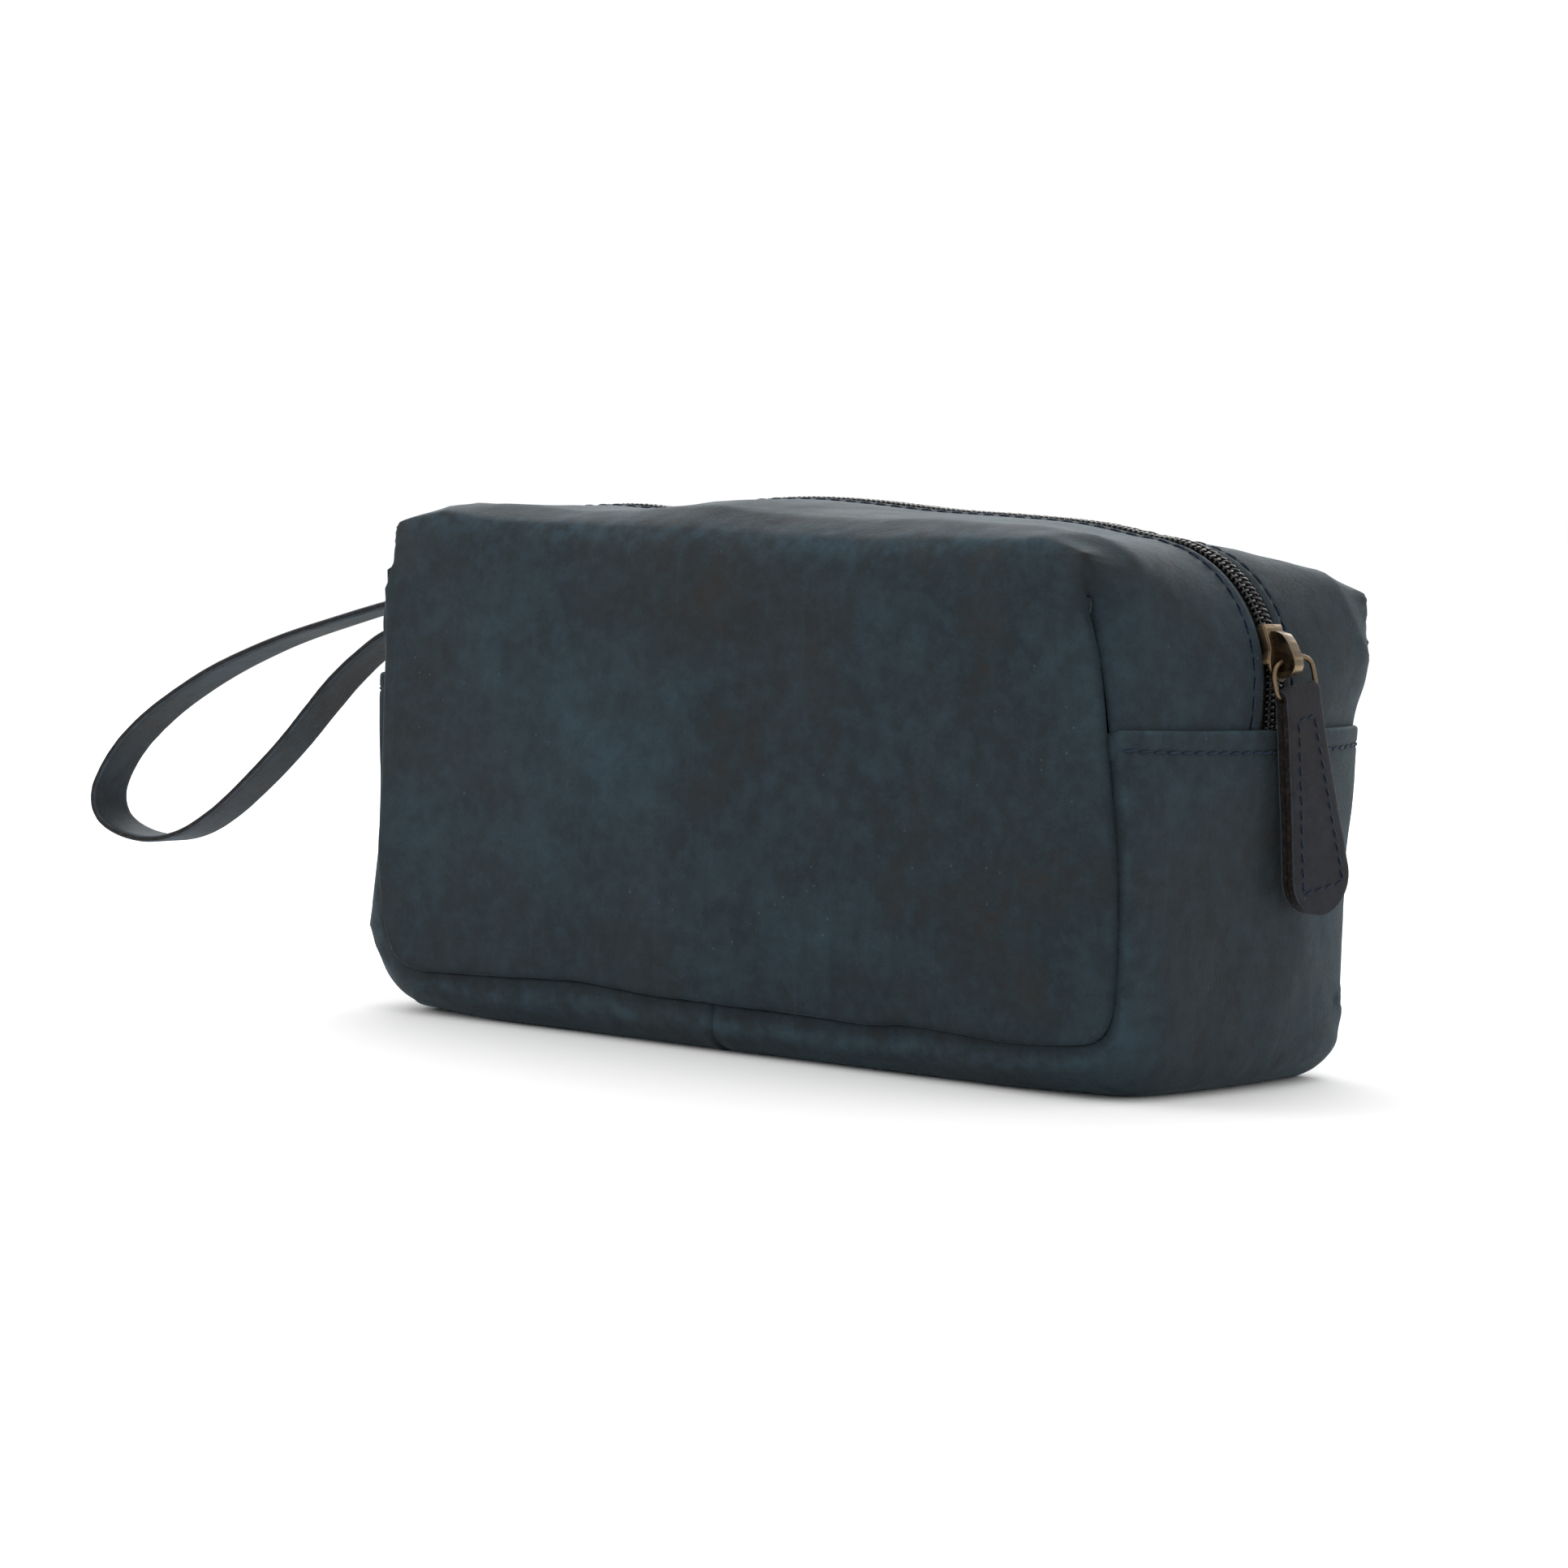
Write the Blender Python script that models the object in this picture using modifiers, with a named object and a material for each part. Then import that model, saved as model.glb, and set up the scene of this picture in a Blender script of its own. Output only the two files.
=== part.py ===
"""Zip-top leather wash bag: boxed leather body, coil zip that runs over the top and down both ends,
brass slider with ring and folded leather pull, wrist strap, fabric lining.

Frame: metres, +Z up, origin at the middle of the base. +X is the end where the slider stands,
-Y is the front face. The outer skin between the front and back faces is one surface P(s, t):
s runs from the middle of the base, round the bottom corner, up the end, round the top corner and
along the top to the middle; t runs from the front face (-1) to the back face (+1)."""

import math

import bmesh
import bpy
from mathutils import Matrix, Vector

# ---------------------------------------------------------------- driving dimensions
FACE_HALF_LOW = 0.127  # half length of a face where the bottom corners end
FACE_HALF_TOP = 0.1165  # half length of a face at its top edge
FACE_LOW_Z = 0.011  # lowest edge of the faces, above the belly of the base
FACE_TOP_Z = 0.145  # fold at the top of the faces
FACE_CORNER_R = 0.014
HALF_DEPTH_LOW = 0.0600  # half depth at the base, hem and top fold
HALF_DEPTH_HEM = 0.0615
HALF_DEPTH_TOP = 0.0635
FACE_CROWN = 0.002  # how far the faces bulge
END_X = 0.135  # middle of the end, which bulges past the seams
MID_CORNER_R = 0.022
HEM_Z = 0.096
ARC_R = 0.038  # zip path round the top corners
ARC_X = END_X - ARC_R
ARC_Z = 0.109
CROWN_Z = 0.153
LEATHER = 0.0020
LINING = 0.0006
GAP = 0.0003
T_EDGE = 0.958  # where the strips stop short of the faces
ZIP_SLOT = 0.0053  # half width of the slot between the leather edges
TAPE_IN, TAPE_OUT = 0.0006, 0.0080
COIL_IN, COIL_OUT = 0.0006, 0.0036
FLAP_S = 5.134  # where the top flaps part from the end wings
OPEN_Y, OPEN_Z = 0.0625, 0.1456  # fold that a top flap turns about
SLIDER_ANGLE = math.radians(14.0)
SWIVEL = math.radians(11.0)  # ring and pull are turned a little to the front,
LEAN = math.radians(12.5)  # and lean to the back
ACROSS = Vector((math.sin(SWIVEL), math.cos(SWIVEL), 0))
OUT = Vector((math.cos(SWIVEL), -math.sin(SWIVEL), 0))
DOWN = ACROSS * math.sin(LEAN) - Vector((0, 0, math.cos(LEAN)))  # along the pull
BAR_AXIS = ACROSS * math.cos(LEAN) + Vector((0, 0, math.sin(LEAN)))
EYE = Vector((0.1386, 0.0, 0.1170)) + ACROSS * 0.0015  # ring in the slider's bridge
BAR = EYE + DOWN * 0.0097 + OUT * 0.0011  # ring's lower bar in the pull's fold
TAB_LEN, TAB_TOP_W, TAB_END_W, TAB_T = 0.0625, 0.0134, 0.0220, 0.0052
STRAP_W, STRAP_T = 0.0150, 0.0020
STRAP_PIVOT = Vector((-0.1382, 0.0, 0.0968))

# ---------------------------------------------------------------- scene
for o in list(bpy.data.objects):
    bpy.data.objects.remove(o, do_unlink=True)
for c in list(bpy.data.collections):
    bpy.data.collections.remove(c)
PARTS = bpy.data.collections.new("wash_bag")
CUTTERS = bpy.data.collections.new("cutters")
bpy.context.scene.collection.children.link(PARTS)
bpy.context.scene.collection.children.link(CUTTERS)

LOOKS = {
    "leather": ((0.052, 0.078, 0.105), 0.62, 0.0),
    "leather_pull": ((0.034, 0.036, 0.052), 0.66, 0.0),
    "lining": ((0.030, 0.034, 0.040), 0.85, 0.0),
    "tape": ((0.010, 0.010, 0.011), 0.90, 0.0),
    "nylon": ((0.008, 0.008, 0.009), 0.38, 0.0),
    "brass": ((0.230, 0.150, 0.075), 0.38, 1.0),
    "thread": ((0.035, 0.065, 0.130), 0.70, 0.0),
}


def material(name, look):
    colour, rough, metal = LOOKS[look]
    m = bpy.data.materials.new(name + "_mat")
    m.use_nodes = True
    b = m.node_tree.nodes["Principled BSDF"]
    b.inputs["Base Color"].default_value = (*colour, 1)
    b.inputs["Roughness"].default_value = rough
    b.inputs["Metallic"].default_value = metal
    m.diffuse_color = (*colour, 1)
    return m


def part(name, mesh, look, pivot=Vector((0, 0, 0))):
    """Links the mesh, given in world coordinates, as an object with its origin at pivot."""
    mesh.transform(Matrix.Translation(-pivot))
    ob = bpy.data.objects.new(name, mesh)
    ob.location = pivot
    mesh.materials.clear()
    mesh.materials.append(material(name, look))
    PARTS.objects.link(ob)
    return ob


def cutter(name, mesh):
    ob = bpy.data.objects.new(name, mesh)
    ob.hide_render = True
    ob.display_type = "WIRE"
    CUTTERS.objects.link(ob)
    return ob


def boolean(ob, other, operation):
    m = ob.modifiers.new(other.name, "BOOLEAN")
    m.operation = operation
    m.object = other
    m.solver = "EXACT"


def solidify(ob, thickness):
    m = ob.modifiers.new("thickness", "SOLIDIFY")
    m.thickness = thickness
    m.offset = -1
    m.use_even_offset = True


# ---------------------------------------------------------------- outer skin
def lerp(a, b, f):
    return a + (b - a) * f


def rim(s):
    """(x, z) of the seam line of a face."""
    if s <= 1:
        return lerp(0, FACE_HALF_LOW - FACE_CORNER_R, s), FACE_LOW_Z
    if s <= 2:
        a = (s - 1) * math.pi / 2
        return (
            FACE_HALF_LOW - FACE_CORNER_R + FACE_CORNER_R * math.sin(a),
            FACE_LOW_Z + FACE_CORNER_R - FACE_CORNER_R * math.cos(a),
        )
    low, top, r = FACE_LOW_Z + FACE_CORNER_R, FACE_TOP_Z - 0.0055, 0.0055
    if s <= 4:
        z = lerp(low, HEM_Z, s - 2) if s <= 3 else lerp(HEM_Z, top, s - 3)
        return lerp(FACE_HALF_LOW, FACE_HALF_TOP, (z - low) / (top - low)), z
    if s <= 5:
        a = (s - 4) * math.pi / 2
        return FACE_HALF_TOP - r + r * math.cos(a), top + r * math.sin(a)
    return lerp(FACE_HALF_TOP - r, 0, s - 5), FACE_TOP_Z


def mid(s):
    """(x, z) of the middle line, which the zip follows."""
    x0 = END_X - MID_CORNER_R
    if s <= 1:
        return lerp(0, x0, s), 0.0
    if s <= 2:
        a = (s - 1) * math.pi / 2
        return x0 + MID_CORNER_R * math.sin(a), MID_CORNER_R - MID_CORNER_R * math.cos(a)
    if s <= 3:
        return END_X, lerp(MID_CORNER_R, HEM_Z, s - 2)
    if s <= 4:
        return END_X, lerp(HEM_Z, ARC_Z, s - 3)
    if s <= 5:
        a = (s - 4) * math.pi / 2
        return ARC_X + ARC_R * math.cos(a), ARC_Z + ARC_R * math.sin(a)
    f = s - 5
    return lerp(ARC_X, 0, f), lerp(ARC_Z + ARC_R, CROWN_Z, math.sin(f * math.pi / 2))


def swell(s, t):
    """How far the skin has moved from the seam line (0) to the middle line (1)."""
    a = abs(t)
    base = 1.0 if a < 0.6 else max(0.0, 1 - ((a - 0.6) / 0.4) ** 2.2) ** 0.6
    end = max(0.0, 1 - a**2.2) ** 0.85
    top = 1 - a**2
    if s <= 1:
        return base
    if s <= 2:
        return lerp(base, end, s - 1)
    if s <= 4:
        return end
    if s <= 5:
        return lerp(end, top, s - 4)
    return top


def half_depth(z):
    if z <= HEM_Z:
        return lerp(HALF_DEPTH_LOW, HALF_DEPTH_HEM, max(0.0, z) / HEM_Z)
    return lerp(HALF_DEPTH_HEM, HALF_DEPTH_TOP, min(1.0, (z - HEM_Z) / (FACE_TOP_Z - HEM_Z)))


def skin(s, t):
    s = abs(s)
    (rx, rz), (mx, mz) = rim(s), mid(s)
    g = swell(s, t)
    return Vector((lerp(rx, mx, g), half_depth(rz) * t, lerp(rz, mz, g)))


def skin_normal(s, t):
    e = 0.002
    ds = skin(s + e, t) - skin(max(s - e, 0.0), t)
    t0, t1 = max(t - e, -1), min(t + e, 1)
    dt = skin(s, t1) - skin(s, t0)
    return dt.cross(ds).normalized()


def y_to_t(y, s=5.0):
    return y / half_depth(rim(s)[1])


def grid_mesh(name, nu, nv, place):
    """A grid of nu by nv faces, with its points put at place(u, v) for u and v from 0 to 1."""
    bm = bmesh.new()
    bmesh.ops.create_grid(bm, x_segments=nu, y_segments=nv, size=0.5)
    for v in bm.verts:
        v.co = place(v.co.x + 0.5, v.co.y + 0.5)
    bm.normal_update()
    me = bpy.data.meshes.new(name)
    bm.to_mesh(me)
    bm.free()
    return me


def strip(name, look, s0, s1, ns, t0, t1, nt, depth, thick, side=1, pivot=Vector((0, 0, 0))):
    """A shell that follows the skin from s0 to s1 and t0 to t1, depth under it. s below 0 is the
    other side of the middle; side -1 makes the same piece at the far end."""

    def place(u, v):
        s, t = lerp(s0, s1, u), lerp(t0, t1, v)
        p, n = skin(s, t), skin_normal(abs(s), t)
        p = p - n * depth
        if s < 0:
            p.x = -p.x
        return Vector((p.x * side, p.y, p.z))

    me = grid_mesh(name, ns, nt, place)
    if side > 0:
        me.flip_normals()
    ob = part(name, me, look, pivot)
    solidify(ob, thick)
    return ob


def top_strip(name, look, t0, t1, nt, depth, thick, pivot, ends=FLAP_S + 0.006, nx=12):
    """A shell on the top between the end wings, depth under the skin."""
    f = 1 - (ends - 5)

    def place(u, v):
        w, t = lerp(-f, f, u), lerp(t0, t1, v)
        s = 6 - abs(w)
        p, n = skin(s, t), skin_normal(min(s, 5.998), t)
        p = p - n * depth
        return Vector((p.x if w > 0 else -p.x, p.y, p.z))

    me = grid_mesh(name, nx, nt, place)
    me.update()
    if me.polygons[0].normal.z < 0:
        me.flip_normals()
    ob = part(name, me, look, pivot)
    solidify(ob, thick)
    return ob


def face_point(u, r, inset=0.0, inward=0.0):
    """A point of the front face; u from -1 to 1 along it, r from 0 at the bottom to 1 at the fold."""
    a = abs(u)
    low = FACE_LOW_Z + inset
    half, top_half = FACE_HALF_LOW - inset, FACE_HALF_TOP - inset
    rr = FACE_CORNER_R
    if a <= 0.8:
        bx, bz = a / 0.8 * (half - rr), low
    else:
        q = (a - 0.8) / 0.2 * math.pi / 2
        bx, bz = half - rr + rr * math.sin(q), low + rr - rr * math.cos(q)
    x, z = lerp(bx, top_half * a, r), lerp(bz, FACE_TOP_Z - inset, r)
    crown = FACE_CROWN * (1 - u**2) * math.sin(min(1.0, r) * math.pi)
    return Vector((math.copysign(x, u), -(half_depth(z) + crown - inward), z))


def face(name, look, mirror, inset=0.0, inward=0.0, thick=LEATHER, nu=20, nr=6):
    def place(u, v):
        p = face_point(lerp(-1, 1, u), v, inset, inward)
        return Vector((p.x, -p.y, p.z)) if mirror else p

    me = grid_mesh(name, nu, nr, place)
    me.update()
    if (me.polygons[0].normal.y > 0) != mirror:
        me.flip_normals()
    ob = part(name, me, look)
    solidify(ob, thick)
    return ob


# ---------------------------------------------------------------- leather body
face("front_panel", "leather", False)
face("back_panel", "leather", True)

HINGE = {-1: Vector((0, -OPEN_Y, OPEN_Z)), 1: Vector((0, OPEN_Y, OPEN_Z))}
SIDE_NAMES = ((-1, "front"), (1, "back"))
END_NAMES = ((1, "right"), (-1, "left"))

for yside, yname in SIDE_NAMES:
    outer, inner = yside * T_EDGE, yside * y_to_t(ZIP_SLOT)
    lo, hi = min(outer, inner), max(outer, inner)
    for xside, xname in END_NAMES:
        strip(f"{yname}_wing_{xname}", "leather", 3.010, FLAP_S, 18, lo, hi, 6, 0, LEATHER, xside)
    top_strip(f"{yname}_top_flap", "leather", lo, hi, 5, 0, LEATHER, HINGE[yside])

# the gusset: two lengths of leather joined under the base, a little to the left of the middle
SEAM_S = 0.035


def gusset(name, side, s_start):
    rows = [s_start, 0.5, 1.0, 1.2, 1.4, 1.6, 1.8, 2.0, 2.35, 2.7, 2.994]
    cols = [-T_EDGE, -0.9, -0.8, -0.6, 0.0, 0.6, 0.8, 0.9, T_EDGE]

    def place(u, v):
        s = rows[round(u * (len(rows) - 1))]
        t = cols[round(v * (len(cols) - 1))]
        p = skin(s, t)
        if s < 0:
            p.x = -p.x
        return Vector((p.x * side, p.y, p.z))

    me = grid_mesh(name, len(rows) - 1, len(cols) - 1, place)
    if side > 0:
        me.flip_normals()
    ob = part(name, me, "leather")
    solidify(ob, LEATHER)


gusset("gusset_right", 1, -SEAM_S)
gusset("gusset_left", -1, SEAM_S + 0.004)

# ---------------------------------------------------------------- lining
face("lining_front", "lining", False, inset=0.0045, inward=LEATHER + GAP, thick=LINING, nu=10, nr=4)
face("lining_back", "lining", True, inset=0.0045, inward=LEATHER + GAP, thick=LINING, nu=10, nr=4)


def lining_gusset():
    half = [0.0, 0.5, 1.0, 1.25, 1.5, 1.75, 2.0, 2.5, 2.97]
    rows = [-s for s in reversed(half[1:])] + half
    cols = [-0.86, -0.6, 0.0, 0.6, 0.86]

    def place(u, v):
        s = rows[round(u * (len(rows) - 1))]
        t = cols[round(v * (len(cols) - 1))]
        p = skin(abs(s), t) - skin_normal(abs(s), t) * (LEATHER + 0.0004)
        return Vector((math.copysign(p.x, s) if s else 0.0, p.y, p.z))

    me = grid_mesh("lining_gusset", len(rows) - 1, len(cols) - 1, place)
    me.flip_normals()
    ob = part("lining_gusset", me, "lining")
    solidify(ob, LINING)


lining_gusset()
for yside, yname in SIDE_NAMES:
    a, b = yside * 0.90, yside * y_to_t(0.0095)
    top_strip(
        f"lining_top_{yname}", "lining", min(a, b), max(a, b), 3, LEATHER + 0.0004, LINING,
        HINGE[yside], ends=FLAP_S + 0.02, nx=8,
    )

# ---------------------------------------------------------------- zip chain
for yside, yname in SIDE_NAMES:
    for kind, look, y0, y1, depth, thick in (
        ("tape", "tape", TAPE_IN, TAPE_OUT, LEATHER + 0.00035, 0.0005),
        ("coil", "nylon", COIL_IN, COIL_OUT, 0.00015, 0.00185),
    ):
        a, b = yside * y_to_t(y0), yside * y_to_t(y1)
        for xside, xname in END_NAMES:
            strip(
                f"{yname}_zip_{kind}_{xname}", look, 3.010, FLAP_S, 18, min(a, b), max(a, b), 1,
                depth, thick, xside,
            )
        top_strip(
            f"{yname}_zip_{kind}_top", look, min(a, b), max(a, b), 1, depth, thick,
            HINGE[yside], nx=14,
        )

# ---------------------------------------------------------------- stitching
for yside, yname in SIDE_NAMES:
    a, b = yside * y_to_t(0.0091), yside * y_to_t(0.0096)
    top_strip(
        f"{yname}_topstitch", "thread", min(a, b), max(a, b), 1, -0.00065, 0.0003,
        HINGE[yside], ends=FLAP_S + 0.015, nx=10,
    )
for xside, xname in END_NAMES:
    strip(f"hem_thread_{xname}", "thread", 2.938, 2.946, 1, -0.93, 0.93, 12, -0.00065, 0.0003, xside)


# ---------------------------------------------------------------- slider
def bent(u, r, y):
    """Slider coordinates: u down along the chain from the slider's middle, r out from the arc's
    centre, y across; bent round the corner that the zip turns."""
    a = SLIDER_ANGLE - u / (ARC_R + 0.0008)
    return Vector((ARC_X + r * math.cos(a), y, ARC_Z + r * math.sin(a)))


def plate(name, outline, r0, r1):
    """A flat plate with the outline [(u, y)], from r0 to r1, as a mesh in slider coordinates."""
    bm = bmesh.new()
    f = bm.faces.new([bm.verts.new((u, y, r0)) for u, y in outline])
    out = bmesh.ops.extrude_face_region(bm, geom=[f])
    bmesh.ops.translate(
        bm, vec=(0, 0, r1 - r0), verts=[v for v in out["geom"] if isinstance(v, bmesh.types.BMVert)]
    )
    bmesh.ops.recalc_face_normals(bm, faces=bm.faces)
    me = bpy.data.meshes.new(name)
    bm.to_mesh(me)
    bm.free()
    return me


def slider_outline(scale, nose):
    half = [(-0.0072, 0.0036), (-0.0060, 0.0042), (0.0005, 0.0047), (0.0032, 0.0055), (0.0052, 0.0052)]
    pts = [(u, y * scale) for u, y in half] + [(nose, 0.0016 * scale)]
    return pts + [(u, -y) for u, y in reversed(pts)]


def build_slider():
    top = bpy.data.objects.new("slider_flat", plate("slider_flat", slider_outline(1.0, 0.0078), ARC_R + 0.0004, ARC_R + 0.0015))
    CUTTERS.objects.link(top)
    pieces = [
        cutter("slider_under", plate("slider_under", slider_outline(0.95, 0.0074), ARC_R - 0.0043, ARC_R - 0.0033)),
        cutter("slider_post", plate("slider_post", [(0.0030, 0.0003), (0.0030, -0.0003), (0.0066, -0.0003), (0.0066, 0.0003)], ARC_R - 0.0036, ARC_R + 0.0008)),
    ]
    for k in (1, -1):
        pts = [(-0.0055, 0.0040), (0.0030, 0.0043), (0.0030, 0.0050), (-0.0055, 0.0043)]
        pieces.append(cutter(f"slider_flange_{'a' if k > 0 else 'b'}", plate(f"flange{k}", [(u, y * k) for u, y in pts], ARC_R - 0.0013, ARC_R + 0.0008)))
    for p in pieces:
        boolean(top, p, "UNION")
    bpy.context.view_layer.update()
    made = bpy.data.meshes.new_from_object(top.evaluated_get(bpy.context.evaluated_depsgraph_get()))
    for p in [top, *pieces]:
        bpy.data.objects.remove(p, do_unlink=True)
    bm = bmesh.new()
    bm.from_mesh(made)
    for k in range(-4, 5):
        bmesh.ops.bisect_plane(bm, geom=[*bm.verts, *bm.edges, *bm.faces], plane_co=(k * 0.0016, 0, 0), plane_no=(1, 0, 0))
    for v in bm.verts:
        v.co = bent(v.co.x, v.co.z, v.co.y)
    bmesh.ops.remove_doubles(bm, verts=bm.verts, dist=1e-6)
    bmesh.ops.recalc_face_normals(bm, faces=bm.faces)
    bm.to_mesh(made)
    bm.free()
    part("slider_body", made, "brass", Vector((ARC_X, 0, ARC_Z)))


build_slider()


def bridge_point(k):
    """The bridge's arch over the top plate, k from 0 at its rear foot to 1 at its front foot."""
    u = lerp(-0.0048, 0.0068, k)
    rise = 0.0047 * (1 - abs(2 * k - 1) ** 3.0)
    return u, ARC_R + 0.0029 + rise


def build_bridge():
    def place(u, v):
        a, r = bridge_point(u)
        return bent(a, r, lerp(-0.0018, 0.0018, v))

    me = grid_mesh("slider_bridge", 12, 1, place)
    me.update()
    if me.polygons[5].normal.x < 0:
        me.flip_normals()
    ob = part("slider_bridge", me, "brass", Vector((ARC_X, 0, ARC_Z)))
    m = ob.modifiers.new("thickness", "SOLIDIFY")
    m.thickness = 0.0010
    m.offset = -1


build_bridge()


def wire(name, look, points, radius, cyclic, pivot, resolution=2):
    cu = bpy.data.curves.new(name, "CURVE")
    cu.dimensions = "3D"
    cu.bevel_depth = radius
    cu.bevel_resolution = resolution
    cu.use_fill_caps = True
    sp = cu.splines.new("POLY")
    sp.points.add(len(points) - 1)
    for q, p in zip(sp.points, points):
        q.co = (*(p - pivot), 1)
    sp.use_cyclic_u = cyclic
    ob = bpy.data.objects.new(name, cu)
    ob.location = pivot
    cu.materials.append(material(name, look))
    PARTS.objects.link(ob)
    return ob


def ring_points():
    """D-shaped ring: its arch runs through the bridge's eye and its straight bar through the pull's
    fold; 15.6 mm wide on its middle line."""
    down = (BAR - EYE).normalized()
    h, w, n = (BAR - EYE).length, 0.0078, 32
    pts = []
    for i in range(n):
        a = 2 * math.pi * i / n
        c, s = math.cos(a), math.sin(a)
        e = 0.85 if c > 0 else 0.30
        y = w * math.copysign(abs(s) ** (0.62 if c > 0 else 0.30), s)
        d = h / 2 * (1 - math.copysign(abs(c) ** e, c))
        pts.append(EYE + down * d + BAR_AXIS * y)
    return pts


wire("pull_ring", "brass", ring_points(), 0.0007, True, EYE)


# ---------------------------------------------------------------- pull tab
def tab_outline(n_end=9, n_top=5):
    """(across, along) of the pull from its fold, round its end, and back."""
    top, bottom = -0.0022, -0.0022 + TAB_LEN
    a, b = TAB_TOP_W / 2, TAB_END_W / 2
    r_top = 0.0012
    right = [(a - r_top + r_top * math.sin(q), top + r_top - r_top * math.cos(q)) for q in [i * math.pi / 2 / n_top for i in range(n_top + 1)]]
    side = [(lerp(a, b, f ** 1.15), lerp(top + 0.004, bottom - b * 0.95, f)) for f in [i / 6 for i in range(7)]]
    end = [(b * math.cos(q), bottom - b * 0.95 + b * 0.95 * math.sin(q)) for q in [math.pi / 2 * i / n_end for i in range(1, n_end + 1)]]
    pts = right + side + end
    return pts + [(-x, y) for x, y in reversed(pts[:-1])]


def tab_to_world(x, along, out):
    """x across, along down the pull, out away from the bag."""
    return BAR + BAR_AXIS * x + DOWN * along + OUT * out


def build_tab():
    bm = bmesh.new()
    f = bm.faces.new([bm.verts.new(tab_to_world(x, y, -TAB_T / 2)) for x, y in tab_outline()])
    out = bmesh.ops.extrude_face_region(bm, geom=[f])
    bmesh.ops.translate(bm, vec=OUT * TAB_T, verts=[v for v in out["geom"] if isinstance(v, bmesh.types.BMVert)])
    bmesh.ops.recalc_face_normals(bm, faces=bm.faces)
    me = bpy.data.meshes.new("pull_tab")
    bm.to_mesh(me)
    bm.free()
    ob = part("pull_tab", me, "leather_pull", BAR.copy())
    bm = bmesh.new()
    bmesh.ops.create_cone(bm, cap_ends=True, segments=16, radius1=0.00145, radius2=0.00145, depth=0.03,
                          matrix=Matrix.Translation(BAR) @ BAR_AXIS.to_track_quat("Z", "X").to_matrix().to_4x4())
    me = bpy.data.meshes.new("ring_channel")
    bm.to_mesh(me)
    bm.free()
    boolean(ob, cutter("ring_channel", me), "DIFFERENCE")


build_tab()


def tab_thread_points():
    inset, top, bottom = 0.0030, 0.0050, TAB_LEN - 0.0022 - 0.0068
    a, b = TAB_TOP_W / 2 - inset, TAB_END_W / 2 - inset
    pts = [(x, top) for x in (-a, a)]
    pts += [(lerp(a, b, f ** 1.15), lerp(top, bottom, f)) for f in (0.25, 0.5, 0.75, 1.0)]
    pts += [(-lerp(a, b, f ** 1.15), lerp(top, bottom, f)) for f in (1.0, 0.75, 0.5, 0.25)]
    return [tab_to_world(x, y, TAB_T / 2 + 0.0007) for x, y in pts]


wire("pull_tab_thread", "thread", tab_thread_points(), 0.0003, True, BAR.copy(), 1)


# ---------------------------------------------------------------- wrist strap
def catmull(points, steps):
    out = []
    for i in range(len(points) - 1):
        p0 = points[max(i - 1, 0)]
        p1, p2 = points[i], points[i + 1]
        p3 = points[min(i + 2, len(points) - 1)]
        for k in range(steps):
            f = k / steps
            out.append(
                0.5 * ((2 * p1) + (p2 - p0) * f + (2 * p0 - 5 * p1 + 4 * p2 - p3) * f * f
                       + (3 * p1 - p0 - 3 * p2 + p3) * f**3)
            )
    return out + [points[-1]]


STRAP_ROUTE = [  # (x, z) in millimetres from the hem, over the top, round the loop and back
    (-137.1, 97.0), (-138.6, 108.0), (-145.0, 118.5), (-157.0, 120.8), (-173.0, 116.8), (-196.0, 109.5),
    (-218.0, 101.0), (-240.0, 91.3), (-256.5, 82.8), (-270.5, 74.0), (-281.5, 64.0), (-288.5, 54.5),
    (-291.0, 46.5), (-288.0, 40.0), (-279.0, 36.6), (-266.0, 36.6), (-253.0, 40.5), (-240.5, 48.0),
    (-228.0, 58.0), (-214.5, 70.5), (-203.0, 82.5), (-194.0, 91.5), (-184.0, 99.5), (-172.0, 106.2),
    (-159.0, 110.2), (-147.5, 108.6), (-141.2, 103.0), (-139.8, 97.0),
]


def build_strap():
    line = catmull([Vector((x / 1000, 0, z / 1000)) for x, z in STRAP_ROUTE], 3)

    def place(u, v):
        i = round(u * (len(line) - 1))
        a, b = line[max(i - 1, 0)], line[min(i + 1, len(line) - 1)]
        d = (b - a).normalized()
        if i in (0, len(line) - 1):
            d = Vector((0, 0, 1 if i == 0 else -1))
        n = Vector((0, 1, 0)).cross(d)
        return line[i] + n * (STRAP_T / 2) + Vector((0, lerp(-STRAP_W / 2, STRAP_W / 2, v), 0))

    me = grid_mesh("wrist_strap", len(line) - 1, 1, place)
    me.update()
    if me.polygons[0].normal.x < 0:
        me.flip_normals()
    ob = part("wrist_strap", me, "leather", STRAP_PIVOT)
    m = ob.modifiers.new("thickness", "SOLIDIFY")
    m.thickness = STRAP_T
    m.offset = -1
    return ob


build_strap()

for ob in PARTS.objects:
    if ob.type == "MESH":
        ob.data.shade_smooth()
        ob.data.set_sharp_from_angle(angle=math.radians(35))
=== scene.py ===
import math
import random

import bmesh
import bpy
import numpy as np
from mathutils import Matrix, Vector, noise
from mathutils.bvhtree import BVHTree


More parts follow.
